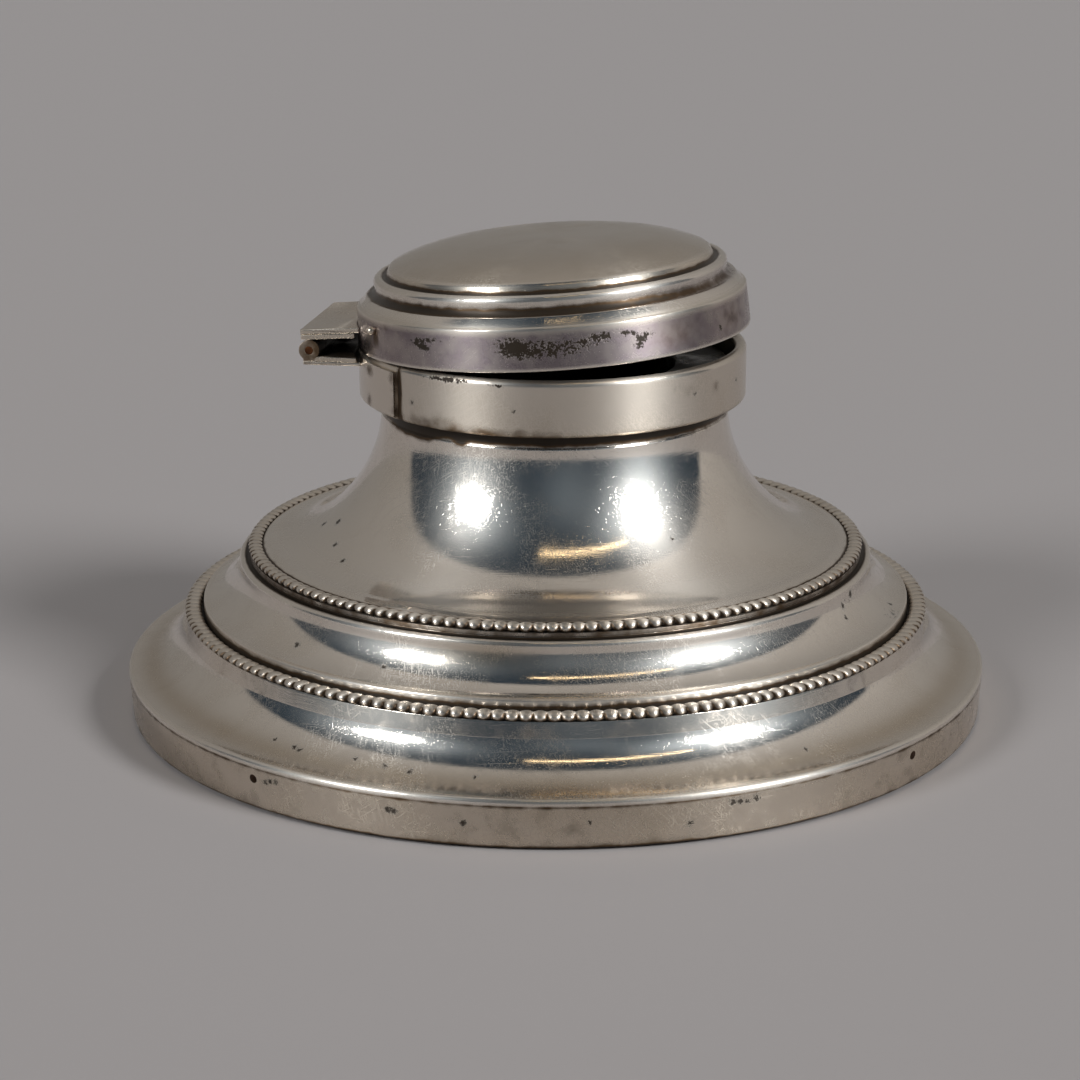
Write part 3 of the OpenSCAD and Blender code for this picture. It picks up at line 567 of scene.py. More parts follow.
def rubbed_silver(name, c, turn=(0, 0, 0), shift=(0, 0, 0), pits=()):
    """Sterling silver, spun and then hand-rubbed for a century: near-mirror metal whose turning marks and
    hairline scratches draw its highlights out along the profile, a thin film of tarnish in clouds, a violet
    bloom of thicker tarnish, dark old polish in stains and in pits, and painted shade in the hollows,
    darkened as old polish too."""
    made, t, mm = started(name, turn, shift)
    mark = {k: add(t, "Attribute", attribute_name=k).outputs["Fac"] for k in MARKS}
    # Noises by size in millimetres: clouds, blotches, grains, specks and dents
    cloud, blotch, grain, speck, dents = (
        add(t, "TexNoise", {"Vector": mm, "Scale": 1 / size, "Detail": detail, "Distortion": bent})
        for size, detail, bent in ((11, 3, 0.6), (2.2, 4, 0), (0.8, 3, 0), (0.27, 2, 0), (14, 1, 0)))
    # Place along the work: 40 mm times the direction round the axis, and radius less height across the marks
    flat = add(t, "VectorMath", (mm, (1, 1, 0)), "MULTIPLY")
    radius = add(t, "VectorMath", (flat,), "LENGTH")
    across = add(t, "Math", (radius, add(t, "SeparateXYZ", (mm,)).outputs["Z"]), "SUBTRACT")
    wander = add(t, "Math", (cloud, 3.0, across), "MULTIPLY_ADD")
    way = add(t, "VectorMath", {0: add(t, "VectorMath", (flat,), "NORMALIZE"), "Scale": 40}, "SCALE")
    work = add(t, "VectorMath", (way, add(t, "CombineXYZ", {"Z": wander})), "ADD")
    # Turning marks 0.25 mm apart, and hairlines in four directions, each by the size of its grain in mm
    lines = add(t, "TexNoise", {"W": wander, "Scale": 1 / 0.25, "Detail": 3}, noise_dimensions="1D")
    hairs, scuffs = [], []
    for source, bend, size, least, start in (
            (work, (0.15, 0.1, 0), (5, 5, 0.15), 0.7, 0.55),
            (work, (0.1, 0.15, 0), (0.17, 0.17, 2.5), 0.7, 0.5),
            (mm, (0.2, 0.75, 0.4), (5, 0.17, 0.17), 0.67, 0.5),
            (mm, (0.3, -0.6, -0.3), (5, 0.17, 0.17), 0.67, 0.5)):
        strand = add(t, "Mapping", {"Vector": source, "Rotation": bend, "Scale": size}, vector_type="TEXTURE")
        noise = add(t, "TexNoise", {"Vector": strand, "Scale": 1, "Detail": 1})
        hairs.append(masked(t, noise, least, least + 0.1))
        scuffs.append(masked(t, noise, start, start + 0.22))
    # The dome of the lid is rubbed free of scratches, which come back 17 to 24 mm from the axis
    radius = radius.outputs["Value"]
    hair = add(t, "Math", (most(t, *hairs), masked(t, radius, 17, 24)), "MULTIPLY")
    scuff = add(t, "Math", (most(t, *scuffs), masked(t, radius, 17, 24, 0.3)), "MULTIPLY")
    scuff = add(t, "Math", (scuff, masked(t, cloud, 0.36, 0.62)), "MULTIPLY")
    # Dirt and painted shade: the shade and old polish of the hollows, broken up by blotches, then stains, eaten
    # out by grains, then pits
    packed_and_shaded = add(t, "Math", (blotch, 0.5, mark["grime"]), "MULTIPLY_ADD")
    soiled_and_shaded, black = masked(t, packed_and_shaded, 0.36, 0.72), masked(t, packed_and_shaded, 0.62, 0.92)
    eaten = add(t, "Math", (grain, 0.45, add(t, "Math", (speck, 0.55), "MULTIPLY")), "MULTIPLY_ADD")
    eaten = add(t, "Math", (eaten, mark["stain"]), "ADD")
    dirt_and_shade = most(t, black, masked(t, eaten, 0.97, 1.04))
    if pits:
        frayed = add(t, "VectorMath", {0: speck.outputs["Color"], "Scale": 1.3}, "SCALE")
        frayed = add(t, "VectorMath", (add(t, "VectorMath", (frayed, mm), "ADD"), (-0.65,) * 3), "ADD")
        dirt_and_shade = most(t, dirt_and_shade, pitted(t, frayed, pits))
    # Colour: the metal, its film in clouds, the bloom in blotches, brown at the edge of the dirt and painted
    # shade, and the dirt and painted shade
    veil = add(t, "Math", (masked(t, cloud, 0.35, 0.75, 0.14), mark["film"]), "ADD", use_clamp=True)
    blush = add(t, "Math", (masked(t, blotch, 0.3, 0.7, 0.35), 0.75), "ADD")
    blush = add(t, "Math", (blush, mark["bloom"]), "MULTIPLY", use_clamp=True)
    base = linear(c.silver)
    for share, tone in ((veil, c.film), (blush, c.bloom), (soiled_and_shaded, c.stain), (dirt_and_shade, c.grime)):
        base = add(t, "Mix", {0: share, 6: base, 7: linear(tone)}, data_type="RGBA")
    # Gloss: hazier in smudges, in scratches, under the film and in the dirt and painted shade
    gloss = masked(t, blotch, 0.4, 0.7, 0.09, 0.03)
    for source, more in ((hair, 0.06), (veil, 0.25), (mark["bloom"], 0.15), (most(t, soiled_and_shaded, dirt_and_shade), 0.35)):
        gloss = add(t, "Math", (source, more, gloss), "MULTIPLY_ADD")
    # Relief in metres: dents, ripples 2 mm across, turning marks, and hairlines and the dirt and painted shade
    # cut in
    relief = {}
    for source, depth, cut_in in ((dents, 6e-5, False), (blotch, 8e-6, False), (lines, 3e-6, False),
                                  (hair, 3e-6, True), (dirt_and_shade, 1e-5, True)):
        relief = {"Normal": add(t, "Bump", {"Height": source, "Distance": depth, "Strength": 1, **relief},
                                invert=cut_in)}
    # Two lobes: the polish, drawn out along the profile, and a wide haze of the finest scratches
    common = {"Base Color": base, "Metallic": add(t, "MapRange", {0: dirt_and_shade, 3: 1.0, 4: 0.6}), **relief,
              "Anisotropic Rotation": 0.25, "Tangent": add(t, "Tangent", direction_type="RADIAL", axis="Z")}
    polish = add(t, "BsdfPrincipled", {**common, "Roughness": gloss, "Anisotropic": 0.8})
    haze = add(t, "BsdfPrincipled", {**common, "Roughness": 0.47, "Anisotropic": 0.82})
    share = add(t, "Math", (scuff, 0.35, most(t, mark["worn"], scuff)), "MULTIPLY_ADD", use_clamp=True)
    add(t, "OutputMaterial", {"Surface": add(t, "MixShader", (share, polish, haze))})
    return made


def plain_metal(name, tone, dark, roughness, grain_mm):
    """Aged brass or gilding: warm metal, its tone broken by soft brown patches and faint handling marks."""
    made, t, mm = started(name)
    cloud = add(t, "TexNoise", {"Vector": mm, "Scale": 1 / grain_mm, "Detail": 4})
    patch = add(t, "MapRange", (cloud, 0.4, 0.75))
    return covered(made, {
        "Base Color": add(t, "Mix", {0: patch, 6: linear(tone), 7: linear(dark)}, data_type="RGBA"),
        "Metallic": 1, "Roughness": add(t, "MapRange", (cloud, 0.3, 0.7, roughness, roughness + 0.15)),
        "Normal": add(t, "Bump", {"Height": cloud, "Distance": 0.00001, "Strength": 1})})


def pressed_glass(c):
    """Clear pressed glass, faintly green, wavy from the mould and clouded brown with dried ink."""
    made, t, mm = started("pressed_glass")
    dried = masked(t, add(t, "TexNoise", {"Vector": mm, "Scale": 1 / 9, "Detail": 4}), 0.3, 0.55)
    wave = add(t, "TexNoise", {"Vector": mm, "Scale": 1 / 6, "Detail": 1})
    return covered(made, {
        "Base Color": add(t, "Mix", {0: dried, 6: linear(c.glass), 7: linear(c.ink)}, data_type="RGBA"),
        "Roughness": add(t, "MapRange", {0: dried, 3: 0.05, 4: 0.45}), "IOR": 1.52, "Transmission Weight": 1,
        "Normal": add(t, "Bump", {"Height": wave, "Distance": 0.00004, "Strength": 1})})


def matt(made, tone, share, height, depth, roughness, sheen=0):
    """A matt finish: its colour times a share, and a relief of that depth in metres."""
    t = made.node_tree
    return covered(made, {
        "Base Color": add(t, "VectorMath", {0: linear(tone)[:3], "Scale": share}, "SCALE"),
        "Normal": add(t, "Bump", {"Height": height, "Distance": depth, "Strength": 1}),
        "Roughness": roughness, "Sheen Weight": sheen})


def turned_beech(c):
    """Turned beech, waxed once: straight grain 1.5 mm apart with short darker flecks, soft and dry to the
    eye."""
    made, t, mm = started("turned_beech")
    grained = add(t, "Mapping", {"Vector": mm, "Scale": (1 / 40, 1 / 1.5, 1 / 1.5)})
    grain = add(t, "TexNoise", {"Vector": grained, "Scale": 1, "Detail": 5})
    return matt(made, c.wood, add(t, "MapRange", (grain, 0.35, 0.65, 0.75, 1.1)), grain, 0.00005, 0.6)


def wool_baize(c):
    """Wool baize: dull green nap of 0.6 mm tufts over a plain weave, with a soft sheen at grazing angles."""
    made, t, mm = started("wool_baize")
    nap = add(t, "TexNoise", {"Vector": mm, "Scale": 1 / 0.6, "Detail": 4, "Roughness": 0.7})
    return matt(made, c.baize, add(t, "MapRange", (nap, 0.3, 0.7, 0.7, 1.25)), nap, 0.0002, 0.95, sheen=0.4)


def cast_plaster(c):
    """Plaster of Paris, cast: chalky off-white with pinholes 0.4 mm across."""
    made, t, mm = started("cast_plaster")
    pin = add(t, "MapRange", (add(t, "TexVoronoi", {"Vector": mm, "Scale": 1 / 2.5}), 0.05, 0.12, 0.6, 1.0))
    return matt(made, c.plaster, pin, pin, 0.0002, 0.9)


def matt_paper(c):
    """Matt paper sweep, one even pale grey."""
    made, t, mm = started("matt_paper")
    fibre = add(t, "TexNoise", {"Vector": mm, "Scale": 1 / 1.5, "Detail": 3})
    return covered(made, {"Base Color": linear(c.floor), "Roughness": 0.75,
                          "Normal": add(t, "Bump", {"Height": fibre, "Distance": 0.00002, "Strength": 0.5})})


# ---------- Pieces ----------


def silver(p, lid=False):
    """The silver of the body, or that of the lid, whose turning marks follow the tipped axis."""
    name = "rubbed_sterling_silver_lid" if lid else "rubbed_sterling_silver"
    made = bpy.data.materials.get(name)
    if made is None and lid:
        pin, back = Vector((p.pin_x, 0, p.pin_z)), Matrix.Rotation(p.ajar, 3, "Y")
        made = rubbed_silver(name, p.colours, turn=(0, p.ajar, 0), shift=pin - back @ pin)
    return made or rubbed_silver(name, p.colours, pits=PITS)


def body_walls(p):
    """Sides of every outline of the body, with each row of beads as a circle."""
    rows = [arc(r, z, bead, 360, 0, 25)[:-1] for r, z, bead in (
        (p.lower_r, p.lower_z, p.lower_bead), (p.upper_r, p.upper_z, p.upper_bead))]
    return segments(foot_outline(p), middle_outline(p), neck_outline(p), collar_outline(p), *rows)


class INKSTAND_OT_tiers(bpy.types.Operator):
    """Spin the foot tier, the middle tier and the neck from sheet"""

    bl_idname = "inkstand.tiers"
    bl_label = "Spin the tiers"

    def execute(self, context):
        p = plan(context)
        walls = body_walls(p)
        flange_r, flange_z, lip_r = p.upper_flange_r, p.upper_flange_z, p.lower_drop_r - 0.65
        # Painted shade, darkened as old polish where a cloth doesn't reach: a painted shadow under the collar,
        # and painted shade beside and below the borders, under the foot's lip and along its lower edge
        for name, node, outline, wear in (
            ("spun_foot", "foot_tier", foot_outline(p), {
                "grime": ((p.lower_flange_r, p.lower_flange_z - 0.2, 0.35, 0.6), (p.band_foot_r, 0.3, 0.35, 0.4),
                          (p.foot_radius - 0.05, p.lip_z - 0.8, 0.2, 0.4), (-100, 0.6, 14, 0.8, 0.1),
                          (-70, 0.6, 14, 0.8, 0.12)),
                "film": ((p.foot_radius - 3.5, p.lip_z + 0.8, 2.2, 0.5),),
                "worn": ((p.foot_radius - 0.25, p.lip_z - 0.1, 0.5, 0.55),)}),
            ("spun_middle", "middle_tier", middle_outline(p), {
                "grime": ((lip_r, p.lower_z + 0.1, 0.85, 0.5), (flange_r + 0.3, flange_z - 0.5, 0.5, 0.6)),
                "film": ((-92, 21, 8, 2.0, 0.55),),
                "stain": ((-19, 21, 4, 1.2, 0.34), (-8, 17, 5, 0.8, 0.34), (5, 17, 3, 0.8, 0.3)),
                "worn": ((lip_r, p.lower_z + 1.0, 0.9, 0.7), (flange_r + 0.9, flange_z - 0.6, 0.7, 0.5),
                         (flange_r + 2, flange_z - 2.5, 1.5, 0.15))}),
            ("spun_neck", "neck_shell", neck_outline(p), {
                "grime": ((p.tube_r, p.collar_z - 0.5, 1.3, 0.95), (p.upper_drop_r, p.upper_z + 0.2, 0.5, 0.6),
                          (flange_r, flange_z - 0.25, 0.4, 0.25), (-138, 44.6, 3.0, 1.4, 0.6),
                          (-128, 44.2, 3.0, 1.0, 0.5), (-112, 44.0, 1.2, 0.7, 0.4)),
                "worn": ((p.shoulder_r - 3, p.shoulder_z, 4.5, 0.25), (-50, 33, 8, 5, 0.3),
                         (-108, 35, 7, 5, 0.2))}),
        ):
            skin = turned(outline, p.columns)
            marks = marks_of(outline, skin, walls)
            if node == "foot_tier":
                # The band below the lip is duller all over
                below = np.clip((p.lip_z - 0.5 - skin[0][:, 2]) / 0.5, 0, 1)
                for mark, more in (("film", 0.45), ("stain", 0.06), ("grime", 0.13)):
                    marks[mark] += more * below
            weathered(marks, skin, **wear)
            piece(name, skin, "base", node, silver(p), marks)
        return {"FINISHED"}


class INKSTAND_OT_beads(bpy.types.Operator):
    """Set the two rows of beads on their strips"""

    bl_idname = "inkstand.beads"
    bl_label = "Set the beads"

    def execute(self, context):
        p = plan(context)
        # Each row with its solder, how far the beads swell out, and how dark their notches are: lean and depth
        for place, ring_r, ring_z, r, count, apron, swell, lean, dark in (
                ("lower", p.lower_r, p.lower_z, p.lower_bead, p.lower_n, SOLDER, 1.4, 0.25, 0.0),
                ("upper", p.upper_r, p.upper_z, p.upper_bead, p.upper_n, 0.0, 1.28, 0.1, 0.2)):
            # Worn beads are low, and so wide that each runs a third of its width into the next
            wide, raised = 1.5 * np.pi * ring_r / count, 0.28 * r
            row, on_bead = beads(ring_r, ring_z + raised, (r * swell, wide, 0.72 * r), count)
            base_z, inner_r, outer_r = ring_z - r - STRIP, ring_r - r - 0.025, ring_r + r - apron
            edge = [[inner_r, ring_z - 0.35], [outer_r, ring_z - 0.35]]
            if apron:
                # The solder under the lower row runs down over the two flanges to the hollow of the foot
                skirt_z = base_z - 2 * (p.sheet + GAP) - 0.7
                edge += [[ring_r + r + apron + 0.1, skirt_z], [outer_r, skirt_z]]
            edge += [[outer_r, base_z], [inner_r, base_z]]
            strip = turned(softened(np.array(edge), 60, width=0.04), p.columns)
            skin = joined(row, strip)
            # Painted shade, also standing for packed polish: the notch between two beads is dark below its
            # crest, further up on its outer side, each bead is darker underneath, and the strip is darker too
            out, along, up = on_bead.T
            notch = np.clip((np.abs(along) - 0.3) / 0.4, 0, 1)
            below = np.clip((0.6 + out * lean - up) / 0.3, 0, 1)
            packed_and_shaded = 0.85 * notch * below + dark * notch + 0.6 * np.clip(-up - 0.1, 0, 1)
            grime, worn = (np.concatenate((on_row + 0 * up, np.full(len(strip[0]), on_strip)))
                           for on_row, on_strip in ((packed_and_shaded, 0.1 + 1.2 * dark), (0.55, 0.08)))
            piece(place + "_beads", skin, "base", place + "_bead_border", silver(p),
                  even_marks(skin, grime, 0.25, worn=worn))
        return {"FINISHED"}


class INKSTAND_OT_collar(bpy.types.Operator):
    """Turn the neck collar and the seat that carries the ink liner"""

    bl_idname = "inkstand.collar"
    bl_label = "Turn the collar"

    def execute(self, context):
        p = plan(context)
        outline = collar_outline(p)
        skin, top = turned(outline, p.columns), p.collar_top
        marks = marks_of(outline, skin, body_walls(p), film=0.35, worn=0.38)
        # Painted shade at the foot and in the corners beside the ends of the saddle, darkened as old polish too;
        # dirt in smears, and stains along the rim over the ink well
        end = SADDLE_END + np.degrees(0.7 / p.collar_r)
        weathered(
            marks, skin,
            grime=((p.collar_r - 1.2, p.collar_z, 1.0, 0.8), (180 - end, 50, 0.55, 4.6, 0.75),
                   (180 + end, 50, 0.55, 4.6, 0.75), (-40, top - 3, 3, 1.6, 0.2), (-27, top - 4, 3, 2, 0.2),
                   (-118, top - 6.5, 5, 1.3, 0.2), (-100, top - 7.2, 9, 0.8, 0.22)),
            stain=((-113, top - 0.6, 6, 0.7, 0.48), (-97, top - 0.8, 2, 0.35, 0.36),
                   (-30, top - 1.2, 7, 1.0, 0.24)))
        piece("neck_collar_ring", skin, "base", "neck_collar", silver(p), marks)
        # The seat ring, down inside the collar, is painted dark: painted shade with old tarnish
        skin = turned(ring_outline(p.sleeve_r - 0.37, p.bore_r - GAP, p.seat_z, p.seat_top), p.columns)
        piece("liner_seat_ring", skin, "base", "liner_seat", silver(p),
              even_marks(skin, grime=0.8, film=0.6))
        return {"FINISHED"}


class INKSTAND_OT_hinge(bpy.types.Operator):
    """Make the hinge: saddle, leaves, straps, knuckles and pin"""

    bl_idname = "inkstand.hinge"
    bl_label = "Make the hinge"

    def execute(self, context):
        p = plan(context)
        half = p.hinge_length / 2
        knuckle = (p.hinge_length - 4 * KNUCKLE_GAP) / 5
        middles = (np.arange(5) - 2) * (knuckle + KNUCKLE_GAP)

        def box(x0, x1, heights, width=0.1):
            """Section of a bar with eased corners, its far end near the body."""
            x0, x1, z0, z1 = x0 + width, x1 - width, heights[0] + width, heights[1] - width
            return np.vstack([arc(x, z, width, a, a - 90, 5) for x, z, a in (
                (x0, z1, 180), (x1, z1, 90), (x1, z0, 0), (x0, z0, -90))])

        def by_pin(x, z, along):
            return np.stack((p.pin_x + x, -along, p.pin_z + z), -1)

        def bar(near, far, radius, heights, edge=0.1):
            """A bar as long as the hinge, its far end drawn out to follow a round wall of that radius."""
            def place(x, z, along):
                end = -np.sqrt(radius**2 - along**2) - p.pin_x
                share = np.clip((x - near) / (far - near), 0, 1)
                return by_pin(x + share * (end - far), z, along)
            return carried(box(near, far, heights), (-half, half), edge, place)

        def laid(skin, middle=0):
            """A turned skin, laid along the pin."""
            return skin[0][:, [0, 2, 1]] * (1, 1, -1) + (p.pin_x, middle, p.pin_z), *skin[1:]

        def turns(which, bore, web, tab=None):
            """Knuckles with that bore, each with its web, and with a tab of the strap if it has one."""
            made, outline = [], ring_outline(bore, KNUCKLE, -knuckle / 2, knuckle / 2)
            for middle in middles[which]:
                ends = np.array((middle - knuckle / 2, middle + knuckle / 2))
                made += [laid(turned(outline, 48), middle), carried(box(-WEB, WEB, web), ends, 0.05, by_pin)]
                if tab is not None:
                    made.append(carried(tab, ends + (0.01, -0.01), 0.08, by_pin))
            return made

        def dressed(skin, film):
            """Marks of the hinge: painted shade, black in the slot between its leaves and darker below it, brown
            at the barrels, a little darker on top.
            """
            x, y, z = (skin[0] - (p.pin_x, 0, p.pin_z)).T
            slot = (x > 1.2) & (z > -1.75) & (z < 2.35 + 0.0628 * x) & (np.abs(y) < half - 0.12)
            round_pin = np.clip((2.0 - np.hypot(x, z)) / 0.4, 0, 1)
            under = np.clip((-1.5 - z) / 0.5, 0, 1)
            grime = np.maximum(0.95 * slot, 0.36 * round_pin) + 0.25 * under + 0.1 * (z > 1.8)
            return even_marks(skin, grime, film, stain=0.2, worn=0.25)

        reach, wall, cone = -p.pin_x, p.collar_r + SADDLE + 2 * GAP, p.lid_r - 0.13
        body_leaf = bar(-BODY_OVERHANG, reach - wall, wall, BODY_LEAF, 0.12)
        # The strap is cut back to tabs beside the lid's knuckles, which turn there
        strap = bar(1.5, reach - wall - 1, wall + 0.6, BODY_STRAP)
        tab = box(-BODY_OVERHANG, 2, (BODY_STRAP[0] + 0.01, BODY_STRAP[1] - 0.01))
        body_barrels = joined(strap, *turns([0, 2, 4], 0.61, (-1.5, -1.0), tab))
        # A bead of solder stands in the corner between the lid's leaf and its band
        blob, _ = beads(0, p.lid_z + 4.1, (0.75, 0.65, 0.6), 1, 10, 16)
        a, out = np.radians(-143.5), p.lid_r + 0.1  # beside the leaf's near end
        blob = (blob[0] + (np.cos(a) * out, np.sin(a) * out, 0), *blob[1:])
        lid_leaf = tipped(joined(bar(-LID_OVERHANG, reach - cone, cone, LID_LEAF, 0.15), blob), p)
        strap = bar(-LID_OVERHANG, reach - p.lid_r - 1, p.lid_r + 0.6, LID_STRAP)
        lid_barrels = tipped(joined(strap, *turns([1, 3], 0.64, (1.0, 1.65))), p)
        for name, body, node, skin, film in (
                ("body_leaf", "base", "body_hinge_leaf", body_leaf, 0.4),
                ("body_barrels", "base", "body_knuckles", body_barrels, 0.55),
                ("lid_leaf", "lid", "lid_hinge_leaf", lid_leaf, 0.5),
                ("lid_barrels", "lid", "lid_knuckles", lid_barrels, 0.55)):
            piece(name, skin, body, node, silver(p, body == "lid"), dressed(skin, film))

        pin = softened(np.array([[0, half], [0.6, half], [0.6, -half], [0, -half]]), 60, width=0.08,
                       on_axis=True)
        piece("pin", laid(turned(pin, 32, closed=False)), "base", "hinge_pin",
              plain_metal("rusty_pin_wire", p.colours.pin, "#2E1A10", 0.5, 0.8))

        # The saddle, a plate soldered round the collar
        low, high, r0 = p.collar_z + 0.3, p.lid_z - 0.25, p.collar_r + GAP
        section = softened(np.vstack(([[r0, high], [r0 + SADDLE, high]], arc(r0, low + SADDLE, SADDLE, 0, -80),
                                      [[r0, low + 0.3]])), 60, width=0.05)
        end = np.radians(SADDLE_END) * p.collar_r

        def round_collar(r, z, along):
            a = np.pi - along / p.collar_r
            return np.stack((r * np.cos(a), r * np.sin(a), z), -1)

        skin = carried(section, (-end, end), 0.08, round_collar)
        x, y = skin[0][:, :2].T
        # Painted shade at the saddle's ends and in patches near its front end, darkened as old polish too
        near_end = np.clip((np.abs(np.arctan2(y, -x)) * p.collar_r - end + 0.25) / 0.2, 0, 1)
        marks = even_marks(skin, 0.3 * near_end, film=0.3, stain=0.2, worn=0.2)
        weathered(marks, skin, grime=((-150, 52, 3.0, 1.2, 0.4), (-148, 47.5, 1.2, 1.5, 0.35),
                                      (-139, 51, 0.6, 2.0, 0.25)))
        piece("hinge_saddle_plate", skin, "base", "hinge_saddle", silver(p), marks)
        return {"FINISHED"}


class INKSTAND_OT_lid(bpy.types.Operator):
    """Spin the lid's shell with its seat ring and gilt lining"""

    bl_idname = "inkstand.lid"
    bl_label = "Spin the lid"

    def execute(self, context):
        p = plan(context)
        outline = lid_outline(p)
        skin = turned(outline, p.columns, closed=False)
        marks = marks_of(outline, skin, segments(outline), closed=False)
        x, y, z = skin[0].T
        r, low, arris_z, panel_r = np.hypot(x, y), p.lid_z, p.arris_z, p.panel_r
        on_dome = np.clip((panel_r - 0.25 - r) / 0.6, 0, 1) * (z > arris_z + 4)
        band = np.clip((arris_z - 0.1 - z) / 0.4, 0, 1) * np.clip((z - low - 0.25) / 0.3, 0, 1)
        band *= r > p.lid_r - 0.5
        browned = band * spots(skin[0], ((-43, low + 3, 5, 3, 1), (-17, low + 3, 5, 3, 1)))
        marks["worn"] *= 1 - on_dome
        for mark, more in (("film", 0.3 * on_dome + 0.2 * band + 0.4 * browned), ("bloom", 0.8 * band),
                           ("worn", 0.25 * band), ("grime", 0.26 * browned)):
            marks[mark] += more
        # The cove under the ring is black with dirt to the left, and violet to the right
        to_left = np.clip(0.5 + 0.75 * np.cos(np.arctan2(y, x) - np.radians(-130)), 0, 1)
        for mark, side, height, width, strength in (
                ("grime", to_left, 1.9, 0.8, 0.7), ("grime", 1 - to_left, 2.1, 0.9, 0.22),
                ("bloom", 1 - to_left, 2.2, 1.1, 0.8)):
            marks[mark] += side * rings(skin[0], ((panel_r + 2.4, arris_z + height, width, strength),))
        # Flecks on the band, in patches along the front, and brown beside the hinge
        marks["stain"] += band * spots(skin[0], (
            (-122, low + 3.7, 1.8, 1.0, 0.47), (-119, low + 2.8, 1.2, 0.6, 0.47),
            (-115, low + 4.2, 2.6, 0.6, 0.45), (-109, low + 5, 0.6, 0.5, 0.48), (-93, low + 3.7, 3.0, 1.8, 0.38),
            (-87, low + 2.7, 4.0, 2.0, 0.33), (-75, low + 3.1, 4.5, 2.2, 0.38), (-66, low + 4.2, 2.6, 1.2, 0.37),
            (-59, low + 4.3, 1.2, 0.5, 0.48), (-53.5, low + 3.5, 1.9, 0.9, 0.45),
            (-56, low + 2.1, 1.1, 1.0, 0.45), (-25, low + 2, 0.8, 1.1, 0.46)))
        weathered(
            marks, skin, film=((panel_r - 0.3, arris_z + 4.6, 0.8, 0.5), (p.arris_r - 0.3, arris_z, 0.75, 0.2)),
            worn=((panel_r - 0.2, arris_z + 4.7, 0.7, 0.5), (panel_r + 1.6, arris_z + 3.9, 1.2, 0.4),
                  (p.arris_r - 0.3, arris_z, 0.75, 0.5)),
            grime=((panel_r + 0.4, arris_z + 4.1, 0.55, 0.55), (-142, low + 3, 1.3, 1.8, 0.42),
                   (-137, low + 5, 1.2, 0.4, 0.4), (142, low + 3, 1.3, 1.8, 0.4)))
        piece("lid_spun_shell", tipped(skin, p), "lid", "lid_shell", silver(p, True), marks)
        # The seat ring inside the lid is darkened: painted shade with old tarnish
        z = p.seat_ring_z
        skin = turned(ring_outline(p.lining_r - 4.5, p.lining_r, z, z + p.seat_ring_t), p.columns)
        piece("lid_seat_ring", tipped(skin, p), "lid", "lid_bezel", silver(p, True),
              even_marks(skin, grime=0.42, film=0.6))
        skin = turned(lining_outline(p), p.columns, closed=False)
        piece("lid_saucer", tipped(skin, p), "lid", "lid_lining",
              plain_metal("fire_gilding", p.colours.gilding, "#B07F35", 0.22, 8))
        return {"FINISHED"}


class INKSTAND_OT_liner(bpy.types.Operator):
    """Press the glass ink liner"""

    bl_idname = "inkstand.liner"
    bl_label = "Press the liner"

    def execute(self, context):
        p = plan(context)
        piece("pressed_liner", turned(liner_outline(p), 180, closed=False), "base", "glass_liner",
              pressed_glass(p.colours))
        return {"FINISHED"}


class INKSTAND_OT_brads(bpy.types.Operator):
    """Drive the four brads through the foot band"""

    bl_idname = "inkstand.brads"
    bl_label = "Drive the brads"

    def execute(self, context):
        p = plan(context)
        head, shank, z = 0.75, 0.45, p.lip_z - 2.2
        face = p.band_foot_r + 0.4 * (z - p.turn_in_z) / (p.lip_z - p.turn_in_z) + 0.09
        outline = softened(np.vstack((crown(head, -0.12, 0.12, head, 2, 12)[::-1],
                                      [[head, -0.6], [shank, -0.6], [shank, -6.4], [0, -6.4]])),
                           60, width=0.04, on_axis=True)
        v, f, row = turned(outline, 32, closed=False)
        skins = []
        for a in np.radians(59.8 + 90 * np.arange(4)):
            out = np.array((np.cos(a), np.sin(a), 0))
            skins.append((v @ ((-np.sin(a), np.cos(a), 0), (0, 0, 1), out) + out * face + (0, 0, z), f, row))
        piece("brads", joined(*skins), "base", "base_brads",
              plain_metal("rusted_brads", "#3A2A20", "#150E0A", 0.6, 0.6))
        return {"FINISHED"}


class INKSTAND_OT_fillings(bpy.types.Operator):
    """Finish the pieces inside and beneath: sleeve, plaster, board and baize"""

    bl_idname = "inkstand.fillings"
    bl_label = "Finish the fillings"

    def execute(self, context):
        c = context.scene.inkstand_colours
        plaster = cast_plaster(c)
        for node, finish in (("well_sleeve", plain_metal("aged_brass", c.brass, "#4A2F18", 0.35, 2.5)),
                             ("plaster_loading", plaster), ("lid_loading", plaster),
                             ("base_board", turned_beech(c)), ("baize_pad", wool_baize(c))):
            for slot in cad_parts[node].material_slots:
                slot.material = finish
        return {"FINISHED"}


# ---------- Stage ----------


